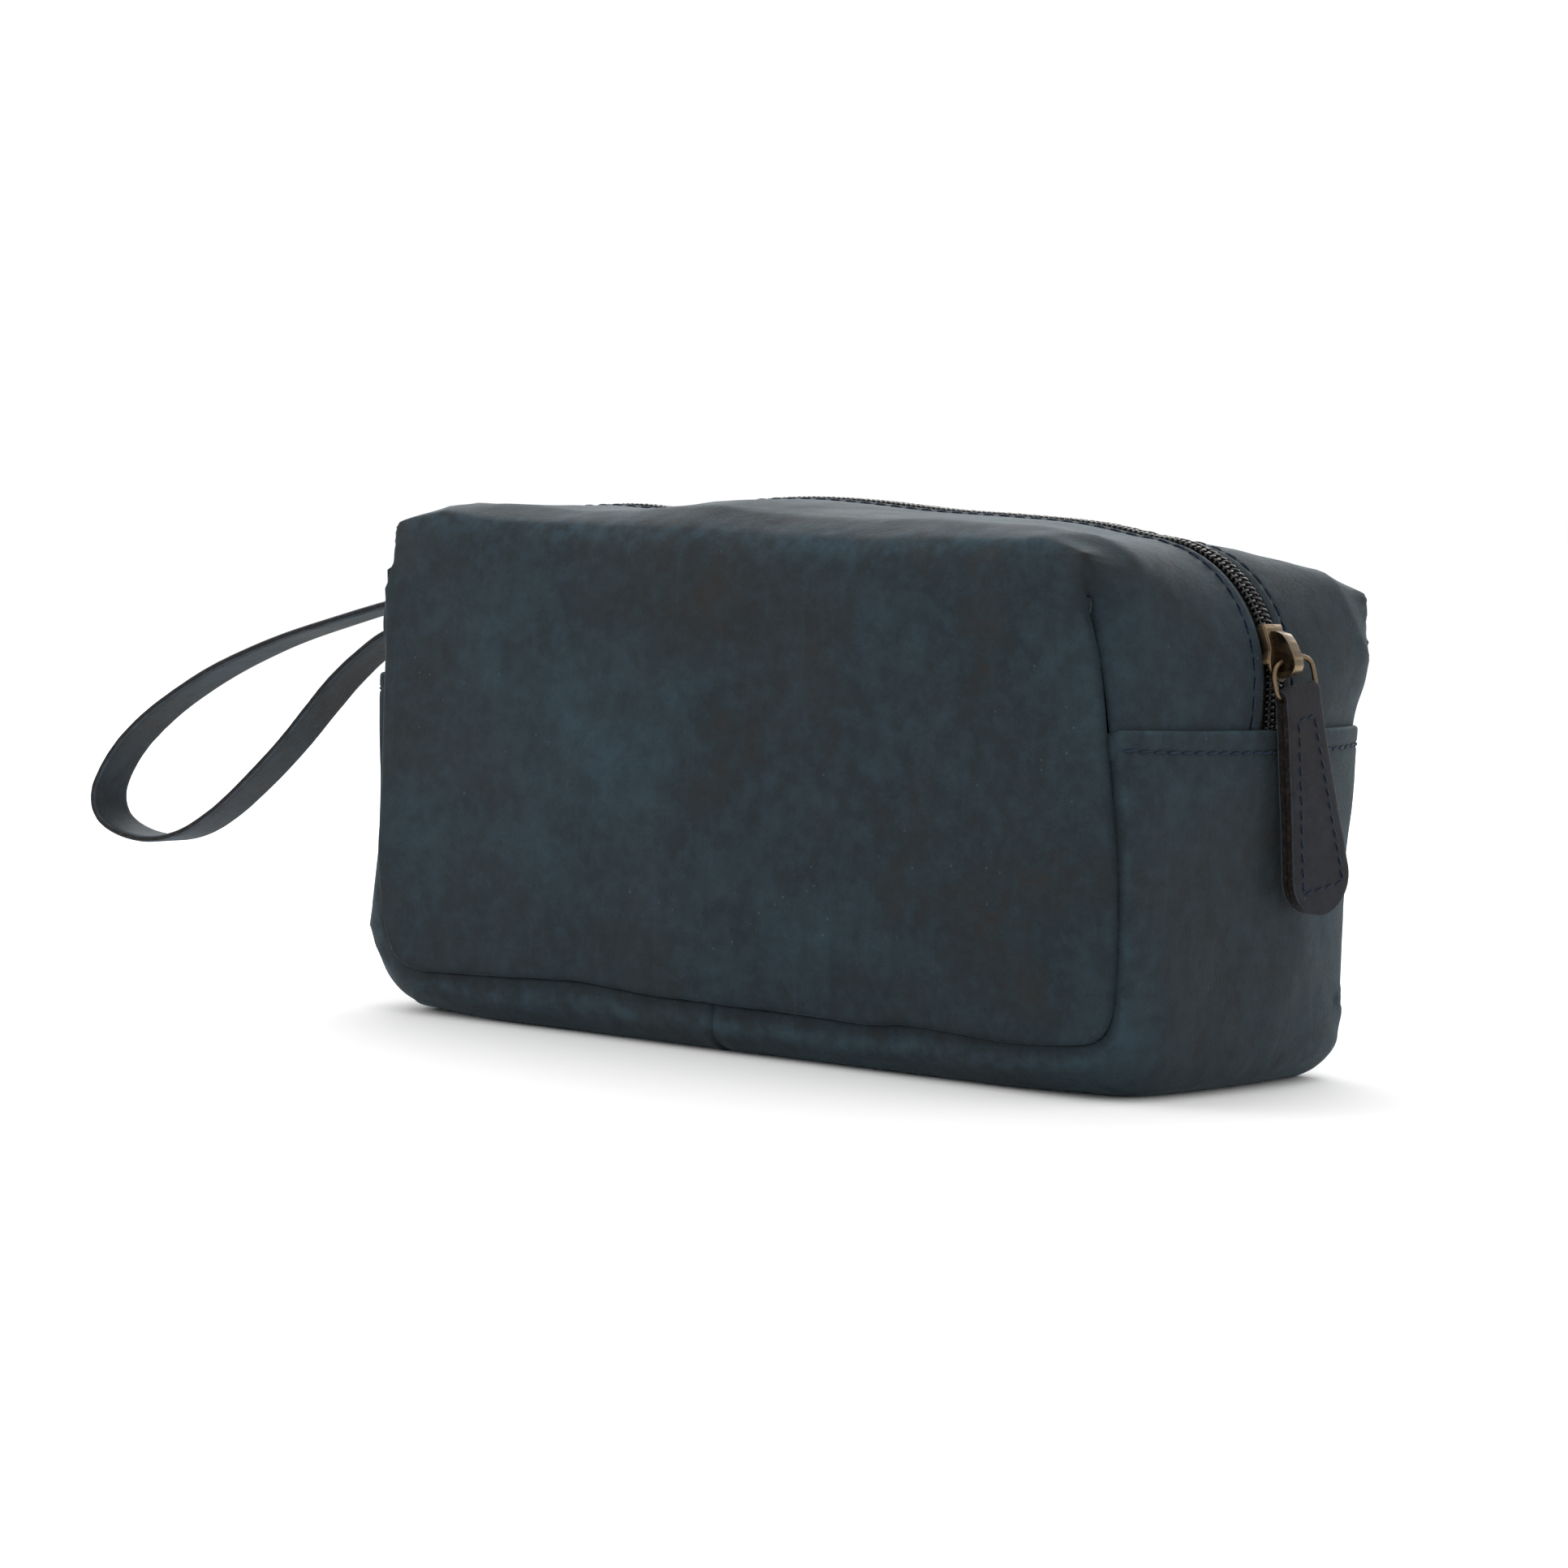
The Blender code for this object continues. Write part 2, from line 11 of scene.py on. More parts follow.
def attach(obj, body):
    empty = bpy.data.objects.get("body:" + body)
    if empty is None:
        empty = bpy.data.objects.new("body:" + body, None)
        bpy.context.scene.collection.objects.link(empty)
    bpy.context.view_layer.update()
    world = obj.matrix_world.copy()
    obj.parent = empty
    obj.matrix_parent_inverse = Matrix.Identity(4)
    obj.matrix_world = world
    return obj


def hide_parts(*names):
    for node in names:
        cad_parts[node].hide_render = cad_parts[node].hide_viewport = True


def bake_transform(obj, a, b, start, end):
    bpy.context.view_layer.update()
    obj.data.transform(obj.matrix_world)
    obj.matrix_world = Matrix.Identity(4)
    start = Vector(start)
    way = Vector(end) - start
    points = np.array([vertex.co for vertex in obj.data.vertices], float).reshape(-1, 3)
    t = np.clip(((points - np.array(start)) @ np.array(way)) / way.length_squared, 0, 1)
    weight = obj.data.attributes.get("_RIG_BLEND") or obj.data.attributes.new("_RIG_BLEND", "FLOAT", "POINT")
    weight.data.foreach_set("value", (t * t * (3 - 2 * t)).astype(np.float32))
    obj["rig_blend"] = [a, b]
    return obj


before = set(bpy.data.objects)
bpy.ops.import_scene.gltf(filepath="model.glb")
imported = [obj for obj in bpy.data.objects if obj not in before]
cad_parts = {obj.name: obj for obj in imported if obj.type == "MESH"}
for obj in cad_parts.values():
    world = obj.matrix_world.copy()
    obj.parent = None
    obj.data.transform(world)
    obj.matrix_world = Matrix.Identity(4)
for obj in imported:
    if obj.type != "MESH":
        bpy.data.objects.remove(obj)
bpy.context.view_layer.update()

MM = 0.001
RNG = random.Random(7)

# ------------------------------------------------------------------ camera
cam_data = bpy.data.cameras.new("camera")
cam_data.lens, cam_data.sensor_width = 119.25, 36.0
cam_data.clip_start, cam_data.clip_end = 0.05, 60
camera = bpy.data.objects.new("camera", cam_data)
bpy.context.scene.collection.objects.link(camera)
AZ, EL, ROLL, DIST = math.radians(36.5), math.radians(3.5), math.radians(2.6), 1.4812
aim = Vector((-0.0257, 0.0, 0.0715))
eye = aim + DIST * Vector((math.sin(AZ) * math.cos(EL), -math.cos(AZ) * math.cos(EL), math.sin(EL)))
fwd = (aim - eye).normalized()
right0 = fwd.cross(Vector((0, 0, 1))).normalized()
up0 = right0.cross(fwd)
right = right0 * math.cos(ROLL) + up0 * math.sin(ROLL)
up = up0 * math.cos(ROLL) - right0 * math.sin(ROLL)
camera.matrix_world = Matrix(
    ((right.x, up.x, -fwd.x, eye.x), (right.y, up.y, -fwd.y, eye.y), (right.z, up.z, -fwd.z, eye.z), (0, 0, 0, 1))
)
bpy.context.scene.camera = camera

# ------------------------------------------------------------------ sizes, in mm
HEM_Z = 96.6
ARC_R, ARC_X, ARC_Z = 38.0, 97.0, 109.0
END_X, MID_R = 135.0, 15.0
ZIP_Y = 5.3
STITCH_Y = 9.3
HINGE_Y, HINGE_Z = 62.5, 145.6
SEAM_X = -3.2

# seam line of each face: parameter, x, z. 0 middle of the base, 1-2 bottom corner, 3 hem,
# 4.5 knuckle, 5 start of the fold along the top
RIM = {
    (-1, 1): [(1, 112.5, 12.9), (1.25, 120.0, 13.9), (1.5, 125.2, 17.2), (1.75, 127.9, 22.2), (2, 128.8, 29), (2.35, 129.0, 45),
              (2.65, 127.6, 66), (3, 122.9, 96.6), (3.5, 120.0, 117), (3.8, 117.0, 129), (4, 116.0, 136), (4.5, 114.6, 146.2), (5, 108.5, 149.7)],
    (-1, -1): [(1, 106.0, 11.6), (1.25, 113.0, 13.0), (1.5, 118.6, 17.6), (1.75, 122.6, 24.8), (2, 125.2, 34), (2.35, 126.2, 50),
               (2.65, 126.3, 70), (3, 126.4, 96.6), (3.5, 126.3, 115), (4, 126.4, 129), (4.5, 124.4, 143.4), (5, 113.5, 147.6)],
    (1, 1): [(1, 113.5, 11.0), (1.25, 120.6, 11.2), (1.5, 124.6, 13.9), (1.75, 125.6, 19.4), (2, 125.6, 27), (2.35, 125.4, 45),
             (2.65, 125.2, 66), (3, 125.2, 96.6), (3.5, 127.4, 112), (4, 129.4, 125), (4.5, 128.0, 135.9), (5, 117.5, 137.8)],
    (1, -1): [(1, 108.0, 12.2), (1.25, 115.0, 13.4), (1.5, 120.4, 17.6), (1.75, 123.9, 24), (2, 125.8, 33), (2.35, 126.4, 50),
              (2.65, 126.2, 70), (3, 125.6, 96.6), (3.5, 125.6, 115), (4, 125.2, 128), (4.5, 122.4, 139.5), (5, 113.5, 144.6)],
}
FOLD = {  # height of the fold along the top of each face
    -1: [(-113.5, 147.6), (-92, 147.6), (-70, 146.0), (-46, 145.3), (-32, 146.6), (-19, 147.6), (-8, 145.9), (10, 145.6),
         (45, 146.8), (73, 147.8), (92, 149.1), (108.5, 149.7)],
    1: [(-113.5, 144.6), (-70, 147.0), (-20, 148.2), (30, 148.4), (70, 144.9), (91.6, 140.4), (107.7, 138.2), (117.5, 137.6)],
}
LOW = {  # height of the seam along the foot of each face
    -1: [(-106, 11.6), (-81, 12.5), (-50, 14.1), (-30, 12.9), (-16, 12.5), (20, 12.3), (47, 12.1), (62, 13.5), (80, 12.9), (98, 12.4), (112.5, 12.9)],
    1: [(-108, 12.2), (0, 12.8), (112.5, 12.9)],
}
CROWN = [(-97, 147.4), (-82, 148.4), (-66, 148.0), (-48, 149.6), (-34, 151.8), (-18, 153.0), (2, 152.9), (30, 151.4), (52, 151.0), (78, 149.9), (97, 147.1)]


def hermite(keys, q):
    """Smooth curve through keys [(q, a, b...)] evaluated at q (array)."""
    k = np.array(keys, float)
    x, p = k[:, 0], k[:, 1:]
    m = np.zeros_like(p)
    m[1:-1] = (p[2:] - p[:-2]) / (x[2:] - x[:-2])[:, None]
    m[0] = (p[1] - p[0]) / (x[1] - x[0])
    m[-1] = (p[-1] - p[-2]) / (x[-1] - x[-2])
    q = np.clip(np.asarray(q, float), x[0], x[-1])
    i = np.clip(np.searchsorted(x, q, side="right") - 1, 0, len(x) - 2)
    h = (x[i + 1] - x[i])[:, None]
    f = ((q - x[i]) / (x[i + 1] - x[i]))[:, None]
    return (
        (2 * f**3 - 3 * f**2 + 1) * p[i] + (f**3 - 2 * f**2 + f) * h * m[i]
        + (-2 * f**3 + 3 * f**2) * p[i + 1] + (f**3 - f**2) * h * m[i + 1]
    )


def smooth01(x):
    x = np.clip(x, 0, 1)
    return x * x * (3 - 2 * x)


def rim(ys, xs, s):
    """(x, z) of the seam or fold line of a face, in mm; s an array, xs the end (1 right, -1 left)."""
    s = np.asarray(s, float)
    keys = RIM[(ys, xs)]
    out = hermite([(a, b, c) for a, b, c in keys], s)
    x = out[:, 0] * xs
    z = out[:, 1]
    base = s < 1
    xb = keys[0][1] * xs * s
    zb = hermite(LOW[ys], xb)[:, 0]
    top = s > 5
    xt = keys[-1][1] * xs * (6 - s)
    zt = hermite(FOLD[ys], xt)[:, 0]
    x = np.where(base, xb, np.where(top, xt, x))
    z = np.where(base, zb, np.where(top, zt, z))
    return np.stack([x, z], 1)


def mid(xs, s):
    s = np.asarray(s, float)
    x0 = END_X - MID_R
    a = (np.clip(s, 1, 2) - 1) * math.pi / 2
    b = (np.clip(s, 4, 5) - 4) * math.pi / 2
    x = np.select(
        [s <= 1, s <= 2, s <= 4, s <= 5],
        [x0 * s, x0 + MID_R * np.sin(a), END_X + 0 * s, ARC_X + ARC_R * np.cos(b)],
        ARC_X * (6 - s),
    )
    z = np.select(
        [s <= 1, s <= 2, s <= 3, s <= 4, s <= 5],
        [0 * s, MID_R - MID_R * np.cos(a), MID_R + (HEM_Z - MID_R) * (s - 2), HEM_Z + (ARC_Z - HEM_Z) * (s - 3), ARC_Z + ARC_R * np.sin(b)],
        hermite(CROWN, xs * ARC_X * (6 - s))[:, 0],
    )
    return np.stack([xs * x, z], 1)


def swell(s, t):
    a = np.abs(t)
    flat = np.where(t < 0, 0.72 - 0.24 * smooth01((s - 0.7) / 0.4), 0.74)
    base = np.where(a < flat, 1.0, np.maximum(0, 1 - (np.maximum(a - flat, 0) / (1 - flat)) ** 2.0) ** 0.62)
    end = np.maximum(0, 1 - a**2.2) ** 0.85
    top = np.where(t > 0, 1 - a**1.4, 1 - a**1.9)
    f = np.clip(s - 1, 0, 1)
    g = np.clip(s - 4, 0, 1)
    out = base * (1 - f) + end * f
    return out * (1 - g) + top * g


def half_depth(ys, x, z):
    k = smooth01((z - 96) / 44)
    if ys < 0:
        return 60.0 + 1.0 * smooth01(z / 96) + 3.0 * k
    ear = 2.2 * np.exp(-(((x - 124) / 16) ** 2)) * np.exp(-(((z - 128) / 16) ** 2))
    return 60.3 + 3.6 * k + ear


def skin(xs, s, t):
    """Skin between the faces, in mm; s from the base (0) to the top (6), t from front (-1) to back (1)."""
    s, t = np.broadcast_arrays(np.asarray(s, float), np.asarray(t, float))
    shape = s.shape
    s, t = s.ravel(), t.ravel()
    g = swell(s, t)
    m = mid(xs, s)
    out = np.zeros((len(s), 3))
    for ys in (-1, 1):
        k = (t < 0) if ys < 0 else (t >= 0)
        if not k.any():
            continue
        r = rim(ys, xs, s[k])
        q = g[k][:, None]
        p = r * (1 - q) + m[k] * q
        hd = half_depth(ys, r[:, 0], r[:, 1])
        out[k, 0], out[k, 2] = p[:, 0], p[:, 1]
        out[k, 1] = hd * t[k]
    if xs < 0:  # the left end sags out low down beside the front seam
        a = np.abs(t)
        out[:, 0] -= (8.5 * np.exp(-(((out[:, 2] - 23) / 18) ** 2)) * (1 - a**6) * (0.3 + 0.7 * smooth01(a / 0.75)) * (t < 0)
                      + 2.5 * np.exp(-(((out[:, 2] - 28) / 17) ** 2)) * (1 - a**6) * (t >= 0))
    return out.reshape(*shape, 3)


def groove_vec(ys, xs, s):
    """How far the seam line is drawn into the corner, as a vector: into the face's outline and in depth."""
    e = 0.01
    a, b = rim(ys, xs, np.clip(s - e, 0, 6)), rim(ys, xs, np.clip(s + e, 0, 6))
    d = b - a
    d /= np.linalg.norm(d, axis=1)[:, None] + 1e-9
    inward = np.stack([-d[:, 1], d[:, 0]], 1) * xs
    k = 1 - smooth01((np.asarray(s) - 4.12) / 0.5)
    depth = 1.95
    return np.stack([inward[:, 0] * 1.65 * k, -ys * depth * k, inward[:, 1] * 1.65 * k], 1)


def roll(q):
    """Profile of a turned seam: 1 at the seam, 0 where the leather has come round."""
    q = np.clip(q, 0, 1)
    return (1 - q) ** 2.6


def fine(length, step, edges=(True, True), near=(0, 0.18, 0.5, 1.0, 1.7, 2.6, 3.8)):
    """Positions from 0 to 1 along a length, close together near the chosen edges."""
    a = [v for v in near] if edges[0] else [0.0]
    b = [length - v for v in reversed(near)] if edges[1] else [length]
    n = max(2, int(round((b[0] - a[-1]) / step)))
    body = [a[-1] + (b[0] - a[-1]) * i / n for i in range(1, n)]
    return np.array(a + body + b) / length


def by_length(fn, s0, s1, n=400):
    """Arc length table of a 2-D curve fn(s)."""
    s = np.linspace(s0, s1, n)
    p = fn(s)
    d = np.concatenate([[0], np.cumsum(np.linalg.norm(np.diff(p, axis=0), axis=1))])
    return s, d


def noise3(p, scale, seed=0.0, octaves=3):
    """Smooth noise about 0 at points p (mm), one value each."""
    out = np.empty(len(p))
    for i, q in enumerate(p):
        v = Vector((q[0] / scale + seed, q[1] / scale - seed, q[2] / scale + 2 * seed))
        out[i] = noise.fractal(v, 0.9, 2.0, octaves)
    return out


def mesh_object(name, verts_mm, faces, smooth=True):
    me = bpy.data.meshes.new(name)
    me.from_pydata([tuple(v) for v in np.asarray(verts_mm) * MM], [], [tuple(int(i) for i in f) for f in faces])
    me.update()
    if smooth:
        me.shade_smooth()
    ob = bpy.data.objects.new(name, me)
    bpy.context.scene.collection.objects.link(ob)
    return ob


def grid_faces(nu, nv, start=0, flip=False):
    f = []
    for i in range(nu - 1):
        for j in range(nv - 1):
            a = start + i * nv + j
            q = (a, a + 1, a + nv + 1, a + nv)
            f.append(q[::-1] if flip else q)
    return f


def normals_of(verts, faces):
    v = np.asarray(verts)
    f = np.array(faces)
    n = np.cross(v[f[:, 2]] - v[f[:, 0]], v[f[:, 3]] - v[f[:, 1]])
    out = np.zeros_like(v)
    for k in range(4):
        np.add.at(out, f[:, k], n)
    return out / (np.linalg.norm(out, axis=1)[:, None] + 1e-12)


def relax(v, faces, weight, rounds, border):
    """Laplacian smoothing with a weight for each vertex; short edges pull harder, and a vertex on the
    border is pulled only by its neighbours on the border."""
    f = np.array(faces)
    e = np.concatenate([f[:, [0, 1]], f[:, [1, 2]], f[:, [2, 3]], f[:, [3, 0]]])
    e = np.unique(np.sort(e, axis=1), axis=0)
    e = e[e[:, 0] != e[:, 1]]
    live = (weight[e[:, 0]] > 0) | (weight[e[:, 1]] > 0)
    e = e[live]
    used, e = np.unique(e, return_inverse=True)
    e = e.reshape(-1, 2)
    p, wt, edge_ = v[used].copy(), weight[used] * 0.85, border[used]
    w = 1 / np.maximum(np.linalg.norm(p[e[:, 0]] - p[e[:, 1]], axis=1), 0.6)
    b0, b1 = edge_[e[:, 0]], edge_[e[:, 1]]
    w0, w1 = w * ~(b0 & ~b1), w * ~(b1 & ~b0)
    n = len(used)
    tot = np.maximum(np.bincount(e[:, 0], w0, n) + np.bincount(e[:, 1], w1, n), 1e-9)
    for _ in range(rounds):
        q = np.stack([np.bincount(e[:, 0], p[e[:, 1], k] * w0, n) + np.bincount(e[:, 1], p[e[:, 0], k] * w1, n) for k in range(3)], 1)
        p += (q / tot[:, None] - p) * wt[:, None]
    v = v.copy()
    v[used] = p
    return v


def weld(verts, faces, dist=1e-3):
    v = np.asarray(verts)
    key = {}
    remap = np.arange(len(v))
    for i, p in enumerate(np.round(v / dist / 4).astype(np.int64)):
        remap[i] = key.setdefault(tuple(p), i)
    used = np.unique(remap)
    new = np.full(len(v), -1)
    new[used] = np.arange(len(used))
    out = []
    for f in faces:
        g = [int(new[remap[i]]) for i in f]
        out.append(g)
    return v[used], out, used


def attribute(ob, name, values):
    a = ob.data.attributes.get(name) or ob.data.attributes.new(name, "FLOAT", "POINT")
    a.data.foreach_set("value", np.asarray(values, np.float32))


def apply_modifiers(ob):
    dg = bpy.context.evaluated_depsgraph_get()
    me = bpy.data.meshes.new_from_object(ob.evaluated_get(dg), preserve_all_data_layers=True, depsgraph=dg)
    old = ob.data
    ob.modifiers.clear()
    ob.data = me
    me.name = ob.name
    bpy.data.meshes.remove(old)
    return ob


def thicken(ob, t_mm, even=False):
    m = ob.modifiers.new("thickness", "SOLIDIFY")
    m.thickness = t_mm * MM
    m.offset = -1
    m.use_even_offset = even
    return apply_modifiers(ob)


# ------------------------------------------------------------------ leather body
def knuckle(ys, xs):
    r = rim(ys, xs, np.array([4.42]))[0]
    return np.array([r[0], ys * half_depth(ys, r[0], r[1]), r[1]])


def half_leather(ys):
    """Face, its half of the top and its two end wings: one cut piece. Returns verts (mm), quads, info."""
    # along the fold, from the left knuckle to the right one
    def top_line(w):
        w = np.asarray(w)
        a = rim(ys, -1, np.clip(w, 4.5, 6))
        b = rim(ys, 1, np.clip(12 - w, 4.5, 6))
        return np.where((w < 6)[:, None], a, b)

    w, d = by_length(top_line, 4.5, 7.5, 1200)
    u = fine(d[-1], 2.0, near=(0, 0.2, 0.55, 1.1, 1.8, 2.8, 4.0))
    rows_top = np.interp(u * d[-1], d, w)
    wing = np.concatenate([np.linspace(2.93, 4.0, 22), np.linspace(4.0, 4.5, 15)[1:]])
    # t columns by distance from the seam, and along lines of equal y near the zip
    hd = half_depth(ys, np.array([0.0]), np.array([145.0]))[0]
    near_zip = np.array([ZIP_Y, ZIP_Y + 0.35, ZIP_Y + 0.8, ZIP_Y + 1.5, ZIP_Y + 2.5, STITCH_Y - 0.6, STITCH_Y, STITCH_Y + 0.6, STITCH_Y + 1.6]) / hd
    near_rim = 1 - np.array([0, 0.2, 0.55, 1.1, 1.8, 2.7, 3.8, 5.2]) / hd
    body = np.linspace(near_rim[-1], near_zip[-1], 22)[1:-1]
    cols = np.concatenate([near_rim, body, near_zip[::-1]])
    S, X = [], []
    for s in wing:
        S.append(s), X.append(-1)
    for s in rows_top[1:-1]:
        S.append(s if s < 6 else 12 - s), X.append(-1 if s < 6 else 1)
    for s in wing[::-1]:
        S.append(s), X.append(1)
    S, X = np.array(S), np.array(X)
    A = np.zeros((len(S), len(cols), 3))
    D = np.zeros_like(A)
    for xs in (-1, 1):
        k = X == xs
        A[k] = skin(xs, S[k][:, None], ys * cols[None, :])
        D[k] = groove_vec(ys, xs, S[k])[:, None, :]
    dist = (1 - cols) * hd
    tuck = smooth01((S - 3.35) / 0.65) * (1 - smooth01((S - 4.28) / 0.22))
    width = 3.6 + 6.5 * tuck
    A += D * roll(dist[None, :] / width[:, None])[..., None] * (1 + 1.1 * tuck)[:, None, None]
    # the wings run down behind the hem of the gusset
    nA = normals_of(A.reshape(-1, 3), grid_faces(*A.shape[:2], flip=(ys < 0))).reshape(A.shape)
    sink = 0.75 * (1 - smooth01((S - 3.02) / 0.5))
    A -= nA * sink[:, None, None] * 1.0
    # folded edge beside the zip, and the hollow that the topstitch pulls
    y = np.abs(A[..., 1])
    A += nA * (0.35 * np.exp(-(((y - 7.2) / 1.1) ** 2)) - 0.30 * np.exp(-(((y - STITCH_Y) / 0.55) ** 2)))[..., None]
    edge = []
    for k, (dy, dn) in enumerate(((-0.28, -0.22), (-0.40, -0.65), (-0.30, -1.15), (0.05, -1.6), (0.8, -1.9), (3.0, -2.0))):
        row = A[:, -1] - nA[:, -1] * (-dn)
        row = row + np.array([0, -ys * 0.0, 0])
        row[:, 1] = A[:, -1, 1] + ys * dy
        edge.append(row)
    A = np.concatenate([A, np.stack(edge, 1)], axis=1)
    nu, nv = A.shape[:2]
    fa = grid_faces(nu, nv, flip=(ys < 0))
    va = A.reshape(-1, 3)
    # the face: a patch between the fold, the two sides and the foot
    top = rim_rows(ys, rows_top)
    v_len = 130.0
    v = fine(v_len, 2.1, edges=(True, False))
    shut = 11  # rows over which the slit below the knuckle is closed
    arc = by_length(lambda q: rim(ys, 1, q), 1.5, 4.5)
    at = np.interp(wing[-shut:], *arc) / arc[1][-1]
    v = np.concatenate([v[v < at[0] - 0.008], at])
    for xs in (1, -1):
        ss, dd = by_length(lambda q: rim(ys, xs, q), 1.5, 4.5)
        if xs > 0:
            s_right = np.interp(v * dd[-1], dd, ss)
        else:
            s_left = np.interp(v * dd[-1], dd, ss)
    s_right[-shut:] = s_left[-shut:] = wing[-shut:]
    Rr, Rl = rim(ys, 1, s_right), rim(ys, -1, s_left)

    def foot_line(w):
        a = rim(ys, -1, np.clip(-w, 0, 1.5))
        b = rim(ys, 1, np.clip(w, 0, 1.5))
        return np.where((w < 0)[:, None], a, b)

    ww, dd = by_length(foot_line, -1.5, 1.5, 800)
    foot_w = np.interp(u * dd[-1], dd, ww)
    foot = foot_line(foot_w)
    U, V = u[:, None, None], v[None, :, None]
    patch = (
        (1 - V) * foot[:, None] + V * top[:, None] + (1 - U) * Rl[None] + U * Rr[None]
        - ((1 - U) * (1 - V) * foot[0] + U * (1 - V) * foot[-1] + (1 - U) * V * top[0] + U * V * top[-1])
    )
    B = np.zeros((len(u), len(v), 3))
    B[..., 0], B[..., 2] = patch[..., 0], patch[..., 1]
    hd2 = half_depth(ys, B[..., 0], B[..., 2])
    crown = 2.0 * (1 - (2 * u[:, None] - 1) ** 2) * np.sin(np.minimum(1, v[None, :]) * math.pi) ** 0.8
    B[..., 1] = ys * (hd2 + crown)
    # seam roll on the sides and the foot
    du = np.minimum(u, 1 - u)[:, None] * d[-1] * np.ones_like(v)[None]
    dv = (v * v_len)[None, :] * np.ones_like(u)[:, None]
    side = np.where((u < 0.5)[:, None], -1, 1)
    for xs in (-1, 1):
        k = (side[:, 0] == xs)
        gs = groove_vec(ys, xs, s_right if xs > 0 else s_left)
        B[k] += gs[None, :, :] * roll(du[k] / 4.4)[..., None]
    gf = np.where((foot_w < 0)[:, None], groove_vec(ys, -1, np.clip(-foot_w, 0, 1.5)), groove_vec(ys, 1, np.clip(foot_w, 0, 1.5)))
    cornered = 1 - np.clip(roll(du / 4.4), 0, 1)
    B += gf[:, None, :] * (roll(dv / 4.4) * cornered)[..., None]
    nw = len(wing)
    B[0, -shut:] = A[nw - shut : nw, 0]
    B[-1, -shut:] = A[nu - nw : nu - nw + shut, 0][::-1]
    B[:, -1] = A[nw - 1 : nu - nw + 1, 0]
    fb = grid_faces(len(u), len(v), start=len(va), flip=(ys < 0))
    verts = np.concatenate([va, B.reshape(-1, 3)])
    faces = fa + fb
    tag_edge = np.concatenate([np.repeat(np.arange(nv)[None], nu, 0).ravel() >= len(cols), np.zeros(B.shape[0] * B.shape[1], bool)])
    verts, faces, used = weld(verts, faces)
    tag_edge = tag_edge[used]
    # soften the fold and the knuckles
    zf = np.interp(verts[:, 0], [k[0] for k in FOLD[ys]], [k[1] for k in FOLD[ys]])
    yf = half_depth(ys, verts[:, 0], verts[:, 2])
    to_fold = np.maximum(np.abs(zf - verts[:, 2]) * (np.abs(verts[:, 0]) < 112), 0)
    df = np.sqrt((np.abs(verts[:, 1]) - hd) ** 2 + (zf - verts[:, 2]) ** 2)
    wgt = 1 - smooth01((df - 9.0) / 9.0)
    wgt *= np.abs(verts[:, 0]) < 116
    dome = 0 * wgt
    for xs in (-1, 1):
        K = knuckle(ys, xs)
        dk = np.linalg.norm(verts - K, axis=1)
        wgt *= smooth01((dk - 4.0) / 16.0)
        dome = np.maximum(dome, 1 - smooth01((dk - 9.0) / 11.0))
    # hold the seam edges where the seam is sewn
    f = np.array(faces)
    e = np.sort(np.concatenate([f[:, [0, 1]], f[:, [1, 2]], f[:, [2, 3]], f[:, [3, 0]]]), axis=1)
    e, cnt = np.unique(e, axis=0, return_counts=True)
    border = np.zeros(len(verts), bool)
    border[e[cnt == 1].ravel()] = True
    for xs in (-1, 1):
        K = knuckle(ys, xs)
        dk = np.linalg.norm(verts - K, axis=1)
        near = border & (dk < 40)
        hold = smooth01((dk - 7.0) / 7.0)
        wgt[near] *= (1 - hold)[near]
        dome[near] *= (1 - hold)[near]
    wgt[border & (np.abs(verts[:, 1]) < 15)] = 0
    verts = relax(verts, faces, wgt, 300, border)
    verts = relax(verts, faces, dome, 150, border)
    n = normals_of(verts, faces)
    # the soft unevenness of the hide, and small puckers below each knuckle
    calm = np.where(border, 0.0, 1.0) * smooth01((np.abs(verts[:, 1]) - 8) / 14)
    verts += n * (0.75 * calm * noise3(verts, 46.0, 3.1 + ys, 2) + 0.22 * calm * noise3(verts, 13.0, 9.7 + ys, 2))[:, None]
    for xs in (-1, 1):
        K = knuckle(ys, xs) + np.array([0, 0, -3.0])
        rel = verts - K
        dk = np.linalg.norm(rel, axis=1)
        on_wing = np.abs(rel[:, 1]) > 0.0
        ang = np.arctan2(np.abs(rel[:, 1]), -rel[:, 2])
        ripple = np.sin(ang * 15.0 + 0.6 * np.sin(ang * 5)) * np.exp(-(((dk - 7.5) / 5.0) ** 2)) * (rel[:, 2] < 2)
        inside = (np.abs(verts[:, 1]) < hd - 0.5)
        verts += n * (0.20 * ripple * inside * calm)[:, None]
        face_side = ~inside
        ang2 = np.arctan2(np.abs(rel[:, 0]), -rel[:, 2])
        ripple2 = np.sin(ang2 * 12.0) * np.exp(-(((dk - 7.5) / 4.0) ** 2)) * (rel[:, 2] < 2)
        verts += n * (0.12 * ripple2 * face_side * calm)[:, None]
    return verts, faces, {"edge": tag_edge, "border": border, "n": n}


def rim_rows(ys, w):
    out = np.zeros((len(w), 2))
    for xs in (-1, 1):
        k = (w < 6) if xs < 0 else (w >= 6)
        out[k] = rim(ys, xs, np.where(w < 6, w, 12 - w)[k])
    return out


def mouth_weight(p, ys):
    """How far a point (mm) follows the opening half of the top: 1 in the middle, 0 at the ends and on the face."""
    x, y, z = p[:, 0], p[:, 1] * ys, p[:, 2]
    along = 1 - smooth01((np.abs(x) - 20) / 80)
    across = smooth01((HINGE_Y + 0.8 - y) / 9.0) * (z > 130)
    return along * across


